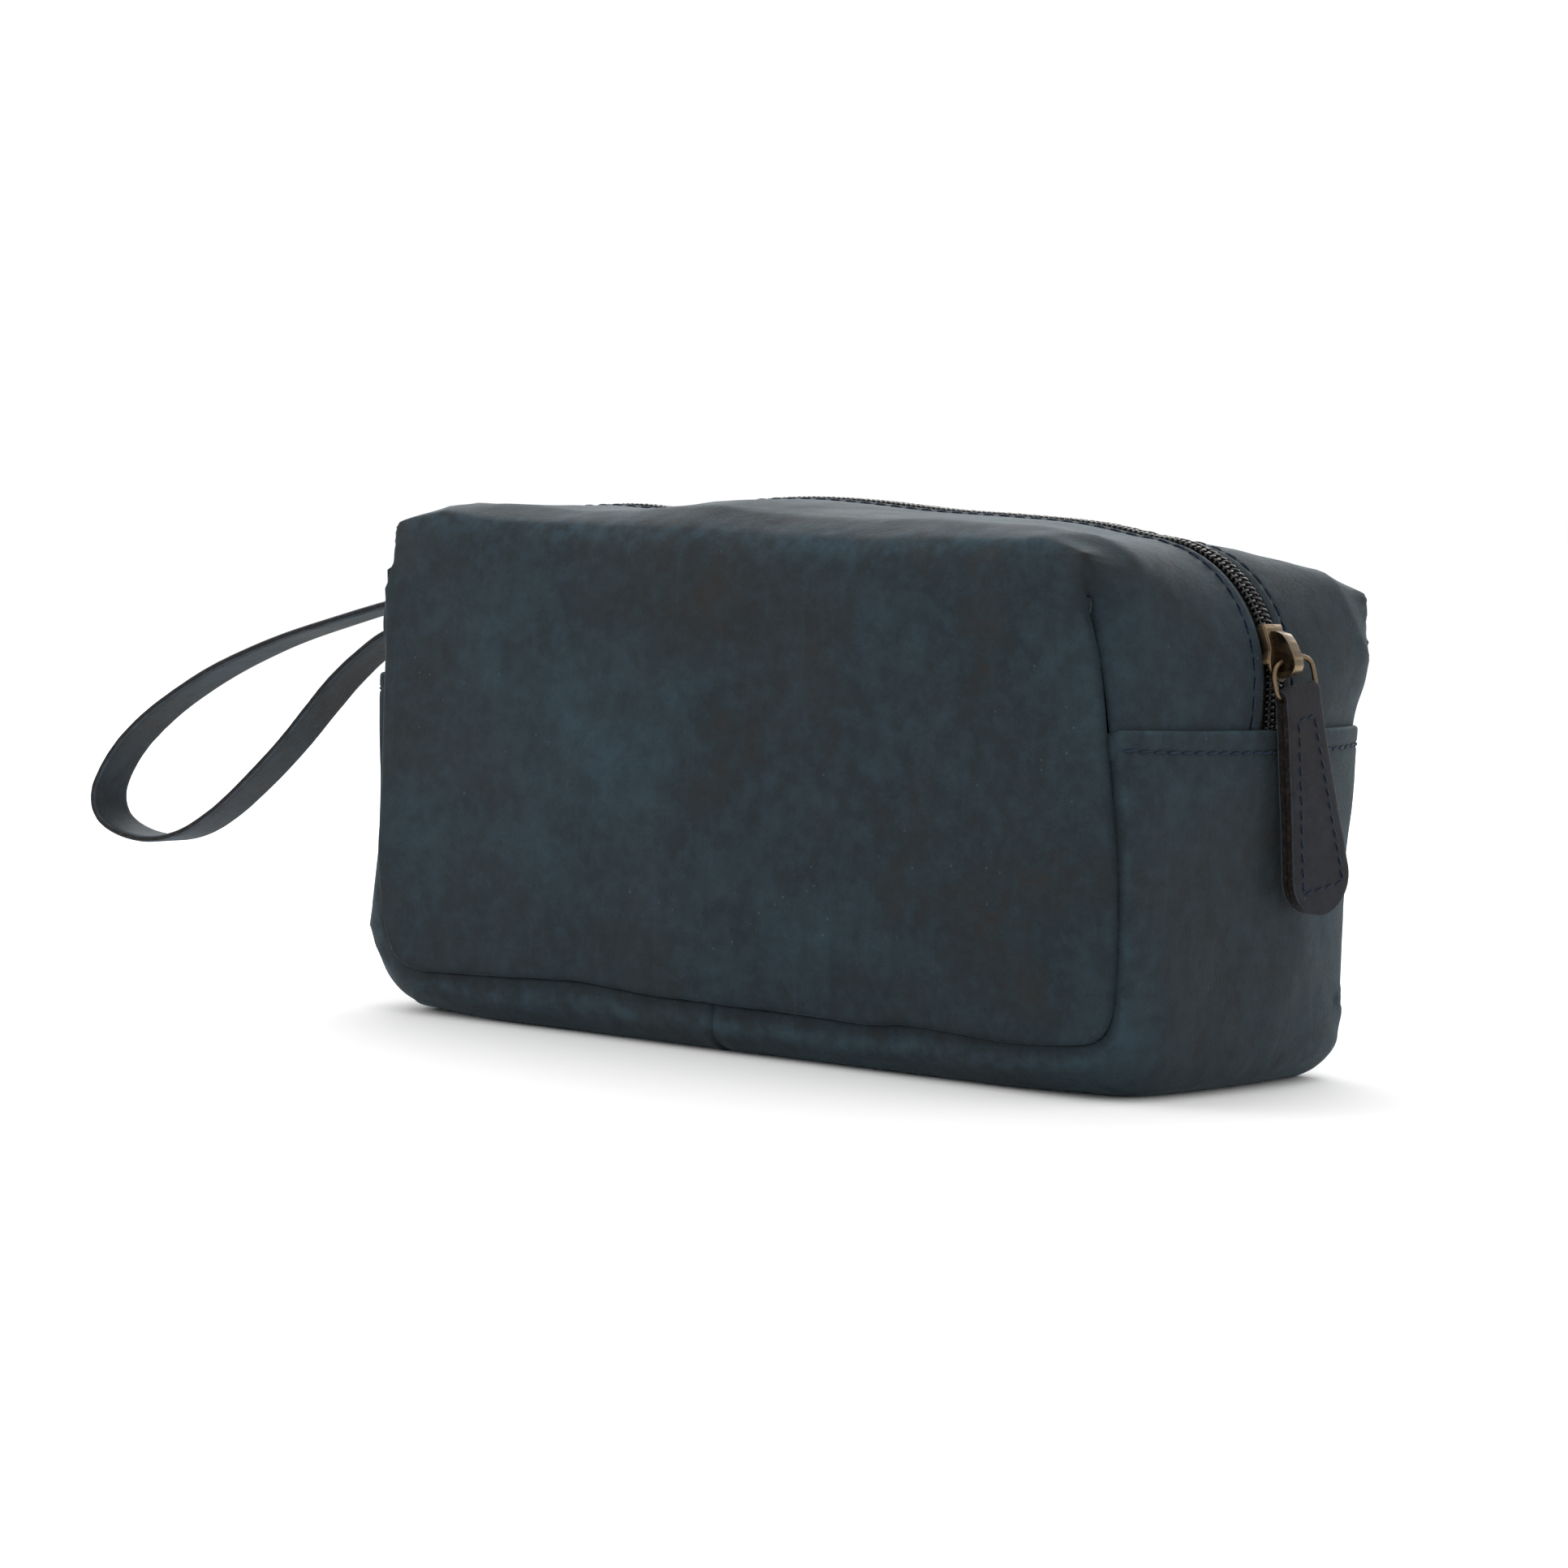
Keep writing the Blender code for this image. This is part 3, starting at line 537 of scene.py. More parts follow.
def follow_mouth(ob, ys):
    n = len(ob.data.vertices)
    co = np.empty(n * 3, np.float32)
    ob.data.vertices.foreach_get("co", co)
    co = co.reshape(-1, 3) * 1000
    side = "front" if ys < 0 else "back"
    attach(ob, "root")
    ob.parent = None
    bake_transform(ob, "root", f"{side}_flap", (0, ys * 0.064, 0.14), (0, ys * 0.05, 0.14))
    attribute(ob, "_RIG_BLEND", mouth_weight(co, ys))


def by_seam(p, faces_y):
    """Distance (mm) from the seam lines beside each face, and how near to the tucked part below a knuckle."""
    lines, high = [], []
    for ys in faces_y:
        for xs in (-1, 1):
            q = np.concatenate([np.linspace(0, 1, 130), np.linspace(1, 4.36, 260)[1:]])
            r = rim(ys, xs, q)
            lines.append(np.stack([r[:, 0], ys * half_depth(ys, r[:, 0], r[:, 1]), r[:, 1]], 1))
            high.append(smooth01((q - 3.45) / 0.5))
    lines, high = np.concatenate(lines), np.concatenate(high)
    d, h = np.empty(len(p)), np.empty(len(p))
    for k in range(0, len(p), 2000):
        g = np.linalg.norm(p[k : k + 2000, None] - lines[None], axis=2)
        i = g.argmin(1)
        d[k : k + 2000], h[k : k + 2000] = g[np.arange(len(i)), i], high[i]
    return d, h


LEATHER = {}
SURFACE = {}
for ys, side in ((-1, "front"), (1, "back")):
    verts, faces, info = half_leather(ys)
    LEATHER[side] = (verts, faces, info)
    ob = mesh_object(f"{side}_leather", verts, faces)
    wear_and_sheen = 0.0 * verts[:, 0]
    # wear and painted highlight: the lighter colour along the fold is partly wear, partly the grazing light on the top
    # painted in
    zf = np.interp(verts[:, 0], [k[0] for k in FOLD[ys]], [k[1] for k in FOLD[ys]])
    d_fold = np.hypot(np.abs(verts[:, 1]) - 63, zf - verts[:, 2])
    wear_and_sheen = 0.8 * np.exp(-((d_fold / 7) ** 2))
    attribute(ob, "wear_and_sheen", wear_and_sheen)
    burn = np.zeros(len(verts))
    for xs in (-1, 1):
        K = knuckle(ys, xs)
        dk = np.linalg.norm(verts - (K + np.array([0, 0, 1.0])), axis=1)
        burn = np.maximum(burn, np.exp(-((dk / 9.0) ** 2)))
    attribute(ob, "burnt", burn)
    d, h = by_seam(verts, (ys,))
    wing = np.abs(verts[:, 1]) < half_depth(ys, verts[:, 0], verts[:, 2]) - 0.6
    # painted shade: darkens the leather along the seam grooves and, more widely, in the recess of the wing below each
    # knuckle
    attribute(ob, "seam_shade", np.maximum(0.75 * np.exp(-((d / 1.9) ** 2)), 0.85 * h * np.exp(-((d / 5.0) ** 2)) * wing))
    thicken(ob, 1.3)
    SURFACE[side] = ob


# ------------------------------------------------------------------ gusset
def gusset_piece(xs):
    """Base and end below the zip, from the seam under the base to the folded hem."""
    s_seam = abs(SEAM_X) / (END_X - MID_R)
    base = np.linspace(0.0, 1.0, 52)[1:]
    rows = list(base) + list(np.linspace(1, 2, 20)[1:]) + list(np.linspace(2, 2.90, 34)[1:]) + [2.925, 2.9405, 2.956, 2.975, 2.99, 3.0]
    if xs > 0:
        first = [-s_seam, -s_seam + 0.002, -s_seam + 0.006, -s_seam + 0.012, -s_seam + 0.022, 0.0]
    else:
        first = [s_seam, s_seam + 0.002, s_seam + 0.006, s_seam + 0.012, s_seam + 0.022]
        rows = [r for r in rows if r > s_seam + 0.03]
    rows = np.array(first + rows)
    d = np.array([0, 0.18, 0.5, 1.0, 1.7, 2.6, 3.8, 5.4, 7.4])
    t_edge = 1 - d / 60.5
    cols = np.concatenate([-t_edge, np.linspace(-t_edge[-1], t_edge[-1], 44)[1:-1], t_edge[::-1]])
    sgn = np.where(rows < 0, -1, 1) * xs
    P = np.zeros((len(rows), len(cols), 3))
    for side in (-1, 1):
        k = sgn == side
        if k.any():
            P[k] = skin(side, np.abs(rows[k])[:, None], cols[None, :])
    flip = xs < 0
    n = normals_of(P.reshape(-1, 3), grid_faces(*P.shape[:2], flip=flip)).reshape(P.shape)
    dist = (1 - np.abs(cols)) * 60.5
    for ys in (-1, 1):
        c = (cols * ys) > 0
        for side in (-1, 1):
            k = sgn == side
            if not k.any():
                continue
            g = groove_vec(ys, side, np.abs(rows[k]))
            low = 1 - smooth01((np.abs(rows[k]) - 1.9) / 0.9)
            width = 4.8 + 1.4 * low
            P[np.ix_(k, c)] += g[:, None, :] * roll(dist[c][None, :] / width[:, None])[..., None]
    # the hem stands on top of the wings
    proud = 1.25 * smooth01((rows - 2.55) / 0.4)
    open_ = smooth01(dist / 2.4)
    P += n * (proud[:, None] * open_[None, :])[..., None]
    # seam under the base
    ds = np.abs((rows * sgn - (-s_seam))) * (END_X - MID_R)
    belly = np.exp(-((ds / 1.3) ** 2))
    P -= n * (belly[:, None] * 0.9 * smooth01((np.abs(cols)[None, :] - 0.55) / 0.15))[..., None] * 1.0
    P += n * ((np.exp(-(((ds - 2.6) / 1.4) ** 2)))[:, None] * 0.35 * smooth01((np.abs(cols)[None, :] - 0.6) / 0.15))[..., None]
    # stitch line
    P -= n * (0.60 * np.exp(-(((rows - 2.9405) * (HEM_Z - MID_R) / 0.8) ** 2))[:, None] * open_[None, :])[..., None]
    # soft unevenness and the creases that run round the low corners
    flat = P.reshape(-1, 3)
    nn = n.reshape(-1, 3)
    lift = smooth01((flat[:, 2] - 1.5) / 8.0) * np.repeat((smooth01(dist / 5.0))[None], len(rows), 0).ravel()
    hemk = 1 - np.repeat(smooth01((rows - 2.8) / 0.1)[:, None], len(cols), 1).ravel() * 0.85
    flat += nn * (0.8 * lift * hemk * noise3(flat, 42.0, 5.3 * xs, 2) + 0.2 * lift * hemk * noise3(flat, 11.0, 1.3 * xs, 2))[:, None]
    for ys in (-1, 1):
        def crease(c, direction, across, depth, wide, long_):
            c, direction, across = map(lambda v: np.array(v, float), (c, direction, across))
            direction /= np.linalg.norm(direction)
            across = across - direction * (across @ direction)
            across /= np.linalg.norm(across)
            rel = flat - c
            a, b = rel @ direction, rel @ across
            return -depth * np.exp(-((a / long_) ** 2)) * (np.exp(-((b / wide) ** 2)) - 0.6 * np.exp(-(((b - 2.2 * wide) / (1.3 * wide)) ** 2)))

        near = (np.abs(flat[:, 1] * ys - 52) < 26)
        flat += nn * (near * lift * crease((xs * 129.5, ys * 52, 22), (xs * 0.3, -ys * 0.9, 0.15), (0, 0, 1), 0.9, 1.1, 7.0))[:, None]
        flat += nn * (near * lift * crease((xs * 118, ys * 50, 8), (xs * 0.75, -ys * 0.5, 0.5), (-0.4 * xs, 0, 1), 0.7, 2.6, 16.0))[:, None]
        flat += nn * (near * lift * crease((xs * 70, ys * 54, 5), (1, 0, 0.02 * xs), (0, ys, 1), 0.5, 1.8, 26.0))[:, None]
    P = flat.reshape(P.shape)
    # flat where it rests
    P[..., 2] = np.where(P[..., 2] < 0.35, np.maximum(P[..., 2], 0.0), P[..., 2])
    P[..., 2] = np.maximum(P[..., 2], 0.02)
    # turned edge of the hem
    n = normals_of(P.reshape(-1, 3), grid_faces(*P.shape[:2], flip=flip)).reshape(P.shape)
    up_ = P[-1] - P[-3]
    up_ /= np.linalg.norm(up_, axis=1)[:, None] + 1e-9
    R = 1.1
    extra = []
    rr = R * np.maximum(open_, 0.25)[:, None]
    for a in np.linspace(0, math.pi, 8)[1:]:
        extra.append(P[-1] + n[-1] * (-rr * (1 - math.cos(a))) + up_ * rr * math.sin(a))
    for k in (1.5, 4.0, 7.0):
        extra.append(P[-1] - n[-1] * (2 * rr) - up_ * k)
    P = np.concatenate([P, np.stack(extra)], 0)
    faces = grid_faces(*P.shape[:2], flip=flip)
    ob = mesh_object(f"gusset_{'right' if xs > 0 else 'left'}_leather", P.reshape(-1, 3), faces)
    hem = np.repeat(np.exp(-(((np.arange(len(P)) - (len(rows) + 2)) / 2.5) ** 2))[:, None], len(cols), 1).ravel()
    roll_w = np.repeat(np.exp(-(((dist - 2.2) / 1.6) ** 2))[None], len(P), 0).ravel()
    attribute(ob, "wear_and_sheen", np.maximum(hem * 0.8, roll_w * 0.45))
    attribute(ob, "burnt", np.zeros(P.shape[0] * P.shape[1]))
    d, h = by_seam(P.reshape(-1, 3), (-1, 1))
    # painted shade: darkens the gusset along the seam grooves
    attribute(ob, "seam_shade", 0.8 * np.exp(-((d / 2.4) ** 2)))
    thicken(ob, 0.8)
    return ob, P


GUSSET = {}
for xs, end in ((1, "right"), (-1, "left")):
    ob, P = gusset_piece(xs)
    SURFACE["gusset_" + end] = ob
    GUSSET[end] = P


# ------------------------------------------------------------------ lining
for ys, side in ((-1, "front"), (1, "back")):
    verts, faces, info = LEATHER[side]
    keep = ~(info["edge"]) & ~(info["border"]) & (np.abs(verts[:, 1]) > 9.0)
    idx = np.full(len(verts), -1)
    idx[keep] = np.arange(keep.sum())
    f2 = [[int(idx[i]) for i in f] for f in faces if all(keep[i] for i in f)]
    v2 = (verts - normals_of(verts, faces) * 1.9)[keep]
    v2 += np.stack([0 * v2[:, 0], -ys * np.abs(noise3(v2, 17.0, 2.2, 2)) * 0.6 * smooth01((np.abs(v2[:, 1]) - 40) / 15), 0 * v2[:, 0]], 1)
    ob = mesh_object(f"{side}_lining_cloth", v2, f2)
    thicken(ob, 0.4)
    SURFACE[side + "_lining"] = ob


def gusset_lining():
    rows = np.concatenate([np.linspace(-2.93, -2, 16), np.linspace(-2, -1, 10)[1:], np.linspace(-1, 1, 40)[1:], np.linspace(1, 2, 10)[1:], np.linspace(2, 2.93, 16)[1:]])
    cols = np.linspace(-0.93, 0.93, 40)
    P = np.zeros((len(rows), len(cols), 3))
    for side in (-1, 1):
        k = (rows < 0) if side < 0 else (rows >= 0)
        P[k] = skin(side, np.abs(rows[k])[:, None], cols[None, :])
    n = normals_of(P.reshape(-1, 3), grid_faces(*P.shape[:2], flip=False)).reshape(P.shape)
    P -= n * 3.2
    flat = P.reshape(-1, 3)
    flat += n.reshape(-1, 3) * (-0.5 * np.abs(noise3(flat, 20.0, 4.4, 2)))[:, None]
    ob = mesh_object("gusset_lining_cloth", flat, grid_faces(*P.shape[:2], flip=False))
    thicken(ob, 0.4)
    return ob


SURFACE["lining_gusset"] = gusset_lining()

# ------------------------------------------------------------------ zip: tapes and coils


def zip_path(step, s_end=2.95):
    """Points on the middle line from the left hem over the top to the right hem, with s and end."""
    fn = lambda xs: (lambda q: mid(xs, q))
    s, d = by_length(fn(1), s_end, 6.0, 1500)
    n = max(8, int(round(d[-1] / step)))
    right_s = np.interp(np.linspace(0, d[-1], n + 1), d, s)
    S = np.concatenate([right_s[:-1], right_s[::-1]])
    X = np.concatenate([-np.ones(n), np.ones(n + 1)])
    return S, X


def on_skin(S, X, y, lift):
    """Points at distance y (mm, array) across and lift above the skin along the zip's path."""
    out = np.zeros((len(S), 3))
    e = 0.004
    for xs in (-1, 1):
        k = X == xs
        if not k.any():
            continue
        sk, yk = S[k], np.broadcast_to(y, S.shape)[k]
        t = yk / 62.0
        p = skin(xs, sk, t)
        a, b = skin(xs, np.minimum(sk + e, 6.0), t), skin(xs, sk - e, t)
        ds = a - b
        dt = skin(xs, sk, t + 0.01) - skin(xs, sk, t - 0.01)
        n = np.cross(dt, ds) * xs
        n /= np.linalg.norm(n, axis=1)[:, None] + 1e-12
        p[:, 1] = yk
        out[k] = p + n * np.broadcast_to(lift, S.shape)[k][:, None]
    return out


S_T, X_T = zip_path(1.6)
for ys, side in ((-1, "front"), (1, "back")):
    ycols = np.array([0.55, 2.0, 4.0, 6.5, 11.0])
    P = np.stack([on_skin(S_T, X_T, ys * y, -1.55 - (0.15 if y > 5 else 0)) for y in ycols], 1)
    ob = mesh_object(f"{side}_zip_band", P.reshape(-1, 3), grid_faces(*P.shape[:2], flip=(ys > 0)))
    thicken(ob, 0.45)
    SURFACE[side + "_band"] = ob


def tube(points, radius, sides=8, closed=False, caps=True, squash=1.0):
    """Sweep a round wire along points (mm, array); returns verts, quads."""
    p = np.asarray(points, float)
    n = len(p)
    tan = np.zeros_like(p)
    if closed:
        tan = np.roll(p, -1, 0) - np.roll(p, 1, 0)
    else:
        tan[1:-1] = p[2:] - p[:-2]
        tan[0], tan[-1] = p[1] - p[0], p[-1] - p[-2]
    tan /= np.linalg.norm(tan, axis=1)[:, None] + 1e-12
    ref = np.array([0.0, 0.0, 1.0]) if abs(tan[0][2]) < 0.9 else np.array([1.0, 0.0, 0.0])
    nor = np.zeros_like(p)
    cur = ref - tan[0] * (ref @ tan[0])
    for i in range(n):
        cur = cur - tan[i] * (cur @ tan[i])
        cur /= np.linalg.norm(cur) + 1e-12
        nor[i] = cur
    bi = np.cross(tan, nor)
    if closed:
        # undo the twist gathered on the way round
        end = nor[-1] - tan[0] * (nor[-1] @ tan[0])
        ang = math.atan2(float(end @ bi[0]), float(end @ nor[0]))
        a = -ang * np.arange(n) / n
        nor, bi = nor * np.cos(a)[:, None] + bi * np.sin(a)[:, None], bi * np.cos(a)[:, None] - nor * np.sin(a)[:, None]
    r = np.broadcast_to(np.asarray(radius, float), (n,))
    ang = np.arange(sides) * 2 * math.pi / sides
    V = p[:, None] + r[:, None, None] * (nor[:, None] * np.cos(ang)[None, :, None] + squash * bi[:, None] * np.sin(ang)[None, :, None])
    F = []
    last = n if closed else n - 1
    for i in range(last):
        for j in range(sides):
            a, b = i * sides + j, i * sides + (j + 1) % sides
            c, d = ((i + 1) % n) * sides + (j + 1) % sides, ((i + 1) % n) * sides + j
            F.append((a, b, c, d))
    V = V.reshape(-1, 3)
    if caps and not closed:
        V = np.concatenate([V, p[:1], p[-1:]])
        for j in range(sides):
            F.append((len(V) - 2, (j + 1) % sides, j))
            F.append((len(V) - 1, (n - 1) * sides + j, (n - 1) * sides + (j + 1) % sides))
    return V, F


def merged(name, parts):
    V, F, k = [], [], 0
    for v, f in parts:
        V.append(v)
        F += [tuple(i + k for i in q) for q in f]
        k += len(v)
    return mesh_object(name, np.concatenate(V), F)


PITCH = 1.72
COIL_LIFT = 0.35
for ys, side in ((-1, "front"), (1, "back")):
    per = 10
    s0, d0 = by_length(lambda q: mid(1, q), 2.95, 6.0, 2500)
    turns = int(2 * d0[-1] / PITCH)
    q = np.arange(turns * per + 1) / per
    along = q * PITCH + (PITCH / 2 if ys > 0 else 0)
    total = 2 * d0[-1]
    along = np.clip(along, 0, total)
    left = along < d0[-1]
    S = np.where(left, np.interp(along, d0, s0), np.interp(total - along, d0, s0))
    X = np.where(left, -1.0, 1.0)
    a = 2 * math.pi * q
    # a flattened turn: the head at the middle, two arms back to the tape
    yy = 1.72 - 1.92 * np.cos(a)
    zz = 0.62 * np.sin(a)
    P = on_skin(S, X, ys * yy, COIL_LIFT - 0.45 + zz)
    V, F = tube(P, 0.36, 6)
    V2, F2 = tube(on_skin(S[:: per // 2], X[:: per // 2], ys * (1.9 + 0.0 * S[:: per // 2]), COIL_LIFT - 0.45), 0.42, 5)
    ob = merged(f"{side}_zip_teeth", [(V, F), (V2, F2)])
    SURFACE[side + "_teeth"] = ob

# ------------------------------------------------------------------ stitching


def surface_tree(*obs):
    V, F, k = [], [], 0
    for ob in obs:
        n = len(ob.data.vertices)
        co = np.empty(n * 3, np.float32)
        ob.data.vertices.foreach_get("co", co)
        V.append(co.reshape(-1, 3))
        F += [[i + k for i in p.vertices] for p in ob.data.polygons]
        k += n
    return BVHTree.FromPolygons([tuple(map(float, v)) for v in np.concatenate(V)], F)


def run_of_stitches(points, tree, pitch, radius=0.36, gap=0.16, slant=0.0, lift=0.16, outward=None):
    """Lock stitches along points (mm) lying on the surface under them. Returns tube parts."""
    p = np.asarray(points, float)
    d = np.concatenate([[0], np.cumsum(np.linalg.norm(np.diff(p, axis=0), axis=1))])
    n = max(1, int(round(d[-1] / pitch)))
    step = d[-1] / n
    parts = []
    for i in range(n):
        a, b = i * step + gap * step / 2, (i + 1) * step - gap * step / 2
        qs = np.linspace(a, b, 7)
        pts = []
        tangent = None
        for j, q in enumerate(qs):
            c = np.array([np.interp(q, d, p[:, k]) for k in range(3)])
            loc, nor, _, _ = tree.find_nearest(Vector(c * MM))
            if loc is None:
                continue
            nor = np.array(nor)
            if outward is not None and nor @ outward(c) < 0:
                nor = -nor
            f = j / 6
            h = lift + radius * 0.75 * math.sin(math.pi * f) ** 0.5 - (0.55 if j in (0, 6) else 0.0)
            c1 = np.array([np.interp(min(q + 0.2, d[-1]), d, p[:, k]) for k in range(3)])
            tangent = (c1 - c) if tangent is None or np.linalg.norm(c1 - c) > 1e-6 else tangent
            tg = tangent / (np.linalg.norm(tangent) + 1e-9)
            side_ = np.cross(nor, tg)
            wob = slant * (f - 0.5)
            pts.append(np.array(loc) * 1000 + nor * h + side_ * wob)
        if len(pts) == 7:
            prof = np.array([0.55, 0.9, 1.0, 1.0, 1.0, 0.9, 0.55]) * radius
            parts.append(tube(np.array(pts), prof * (1 + 0.06 * RNG.uniform(-1, 1)), 7))
    return parts


for ys, side in ((-1, "front"), (1, "back")):
    tree = surface_tree(SURFACE[side])
    S, X = zip_path(1.5, 3.02)
    line = on_skin(S, X, ys * (STITCH_Y + 0 * S), 0.3)
    centre = lambda c: np.array([np.sign(c[0]) * max(0, abs(c[0]) - 97), 0, max(c[2] - 109, 0.1)])
    ob = merged(f"{side}_zip_stitches", run_of_stitches(line, tree, 5.2, slant=0.35 * ys, outward=centre))
    SURFACE[side + "_stitches"] = ob

for xs, end in ((1, "right"), (-1, "left")):
    tree = surface_tree(SURFACE["gusset_" + end])
    t = np.linspace(-0.965, 0.965, 160)
    line = skin(xs, np.full(160, 2.9405), t) + np.array([xs * 1.0, 0, 0])
    ob = merged(f"hem_stitches_{end}", run_of_stitches(line, tree, 5.0, slant=0.5, outward=lambda c: np.array([xs, 0, 0])))
    SURFACE["hem_" + end] = ob

# ------------------------------------------------------------------ slider


def bent(u, r, y):
    """Slider coordinates (mm): u down along the chain, r out from the centre of the corner, y across."""
    a = math.radians(14.0) - u / (ARC_R + 0.8)
    return (ARC_X + r * math.cos(a), y, ARC_Z + r * math.sin(a))


def bevelled(name, bm, width, segments=3, bend=True, cut=1.0):
    if bend:
        for k in range(-10, 11):
            bmesh.ops.bisect_plane(bm, geom=[*bm.verts, *bm.edges, *bm.faces], plane_co=(k * cut, 0, 0), plane_no=(1, 0, 0))
    bmesh.ops.remove_doubles(bm, verts=bm.verts, dist=1e-4)
    bmesh.ops.recalc_face_normals(bm, faces=bm.faces)
    me = bpy.data.meshes.new(name)
    bm.to_mesh(me)
    bm.free()
    ob = bpy.data.objects.new(name, me)
    bpy.context.scene.collection.objects.link(ob)
    m = ob.modifiers.new("bevel", "BEVEL")
    m.width, m.segments, m.limit_method, m.angle_limit = width, segments, "ANGLE", math.radians(32)
    apply_modifiers(ob)
    for v in ob.data.vertices:
        v.co = Vector(bent(v.co.x, v.co.z, v.co.y) if bend else v.co) * MM
    ob.data.update()
    ob.data.shade_smooth()
    return ob


def prism(bm, outline, r0, r1):
    """Outline [(u, y)] in order, raised from r0 to r1 in slider coordinates."""
    lo = [bm.verts.new((u, y, r0)) for u, y in outline]
    hi = [bm.verts.new((u, y, r1)) for u, y in outline]
    n = len(outline)
    bm.faces.new(lo[::-1])
    bm.faces.new(hi)
    for i in range(n):
        bm.faces.new((lo[i], lo[(i + 1) % n], hi[(i + 1) % n], hi[i]))


def mirror_outline(half):
    return half + [(u, -y) for u, y in reversed(half) if abs(y) > 1e-6]


R0 = ARC_R
# top plate: straight rear edge, waist, shoulders and a pointed nose
top_half = [(-7.3, 4.3), (-6.6, 4.45), (-4.0, 4.25), (-2.0, 4.0), (-0.6, 4.05), (1.0, 4.9), (2.6, 5.5), (4.0, 5.45), (5.4, 4.6), (6.9, 2.6), (7.9, 0.9)]
bm = bmesh.new()
prism(bm, mirror_outline(top_half), R0 + 1.25, R0 + 2.35)
plate_top = bevelled("slider_top", bm, 0.32)
bm = bmesh.new()
prism(bm, mirror_outline([(u, y * 0.96) for u, y in top_half]), R0 - 4.2, R0 - 3.2)
plate_low = bevelled("slider_under", bm, 0.25)
walls = []
for k in (1, -1):
    wall = [(-7.3, 4.45), (-6.6, 4.6), (-4.0, 4.4), (-2.0, 4.15), (-0.6, 4.2), (1.0, 5.0), (2.4, 5.6), (3.2, 5.62), (3.2, 4.75), (2.3, 4.7), (0.9, 4.15), (-0.7, 3.35), (-2.0, 3.3), (-4.0, 3.5), (-7.3, 3.6)]
    bm = bmesh.new()
    prism(bm, [(u, y * k) for u, y in (wall if k > 0 else wall[::-1])], R0 - 0.7, R0 + 1.9)
    walls.append(bevelled(f"slider_wall_{'back' if k > 0 else 'front'}", bm, 0.22))
bm = bmesh.new()
prism(bm, [(3.4, 0.45), (3.4, -0.45), (6.8, -0.3), (6.8, 0.3)], R0 - 3.6, R0 + 1.6)
post = bevelled("slider_post", bm, 0.1)

# bridge: a thick band that climbs from the rear, drops over the eye and returns to the nose
profile_out = [(-5.4, 2.2), (-4.9, 3.2), (-3.6, 4.35), (-1.6, 5.3), (0.8, 6.1), (2.8, 6.65), (4.2, 6.7), (5.3, 6.1), (6.1, 4.9), (6.8, 3.5), (7.2, 2.2)]
profile_in = [(5.7, 2.2), (5.3, 3.5), (4.9, 4.7), (4.3, 5.3), (3.3, 5.35), (1.8, 5.05), (0.6, 4.4), (0.1, 3.4), (0.0, 2.2)]
bm = bmesh.new()
prof = [(u, r + 1.3 * float(smooth01((r - 2.2) / 2.6))) for u, r in profile_out + profile_in]


def half_width(u, r):
    return 1.9 + 0.45 * smooth01((r - 3.0) / 2.5) * (1 - 0.35 * smooth01((u - 4.5) / 2.0)) - 0.5 * smooth01((u - 5.4) / 1.6)


left = [bm.verts.new((u, float(-half_width(u, r)), R0 + r)) for u, r in prof]
righ = [bm.verts.new((u, float(half_width(u, r)), R0 + r)) for u, r in prof]
n = len(prof)
bm.faces.new(left)
bm.faces.new(righ[::-1])
for i in range(n):
    bm.faces.new((left[i], righ[i], righ[(i + 1) % n], left[(i + 1) % n]))
bmesh.ops.triangulate(bm, faces=[f for f in bm.faces if len(f.verts) > 4])
bridge = bevelled("slider_crown", bm, 0.42, 4)

for o in (plate_top, plate_low, *walls, post, bridge):
    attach(o, "slider")

# ------------------------------------------------------------------ ring
SWIVEL, LEAN = math.radians(11.0), math.radians(12.5)
ACROSS = np.array([math.sin(SWIVEL), math.cos(SWIVEL), 0])
OUT = np.array([math.cos(SWIVEL), -math.sin(SWIVEL), 0])
DOWN = ACROSS * math.sin(LEAN) - np.array([0, 0, math.cos(LEAN)])
BAR_AXIS = ACROSS * math.cos(LEAN) + np.array([0, 0, math.sin(LEAN)])
EYE = np.array([138.6, 0.0, 117.0]) + ACROSS * 1.5
BAR = EYE + DOWN * 9.7 + OUT * 1.1
down = (BAR - EYE) / np.linalg.norm(BAR - EYE)
h = float(np.linalg.norm(BAR - EYE))
pts = []
for i in range(72):
    a = 2 * math.pi * i / 72
    c, s = math.cos(a), math.sin(a)
    e = 0.85 if c > 0 else 0.40
    y = 7.8 * math.copysign(abs(s) ** (0.66 if c > 0 else 0.40), s)
    pts.append(EYE + down * (h / 2 * (1 - math.copysign(abs(c) ** e, c))) + BAR_AXIS * y)
for _ in range(3):
    q = np.array(pts)
    pts = (q * 2 + np.roll(q, 1, 0) + np.roll(q, -1, 0)) / 4
V, F = tube(np.array(pts), 0.70, 14, closed=True)
ring = mesh_object("ring_wire", V, F)
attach(ring, "ring")

# ------------------------------------------------------------------ pull
TAB_LEN, TAB_TOP, TAB_END, TAB_T = 62.5, 13.4, 22.0, 5.2


def tab_world(x, along, out):
    return BAR + BAR_AXIS * x + DOWN * along + OUT * out


END_AT = TAB_LEN - 2.2
END_R = TAB_END / 2 * 0.95


def tab_width(a):
    """Half width of the pull at a distance a below the ring's bar."""
    f = np.clip((a - 1.8) / (END_AT - END_R - 1.8), 0, 1)
    w = TAB_TOP / 2 + (TAB_END - TAB_TOP) / 2 * f**1.15
    k = np.clip((a - (END_AT - END_R)) / END_R, 0, 1)
    return w * np.sqrt(np.maximum(1 - k**2.2, 0.0))


def tab_stations():
    """Distances below the ring's bar for the front layer, from its end up to the fold."""
    a = list(END_AT - END_R + END_R * np.sin(np.linspace(math.pi / 2 * 0.985, 0, 14)))
    a += list(np.linspace(END_AT - END_R, 2.5, 22)[1:])
    return a


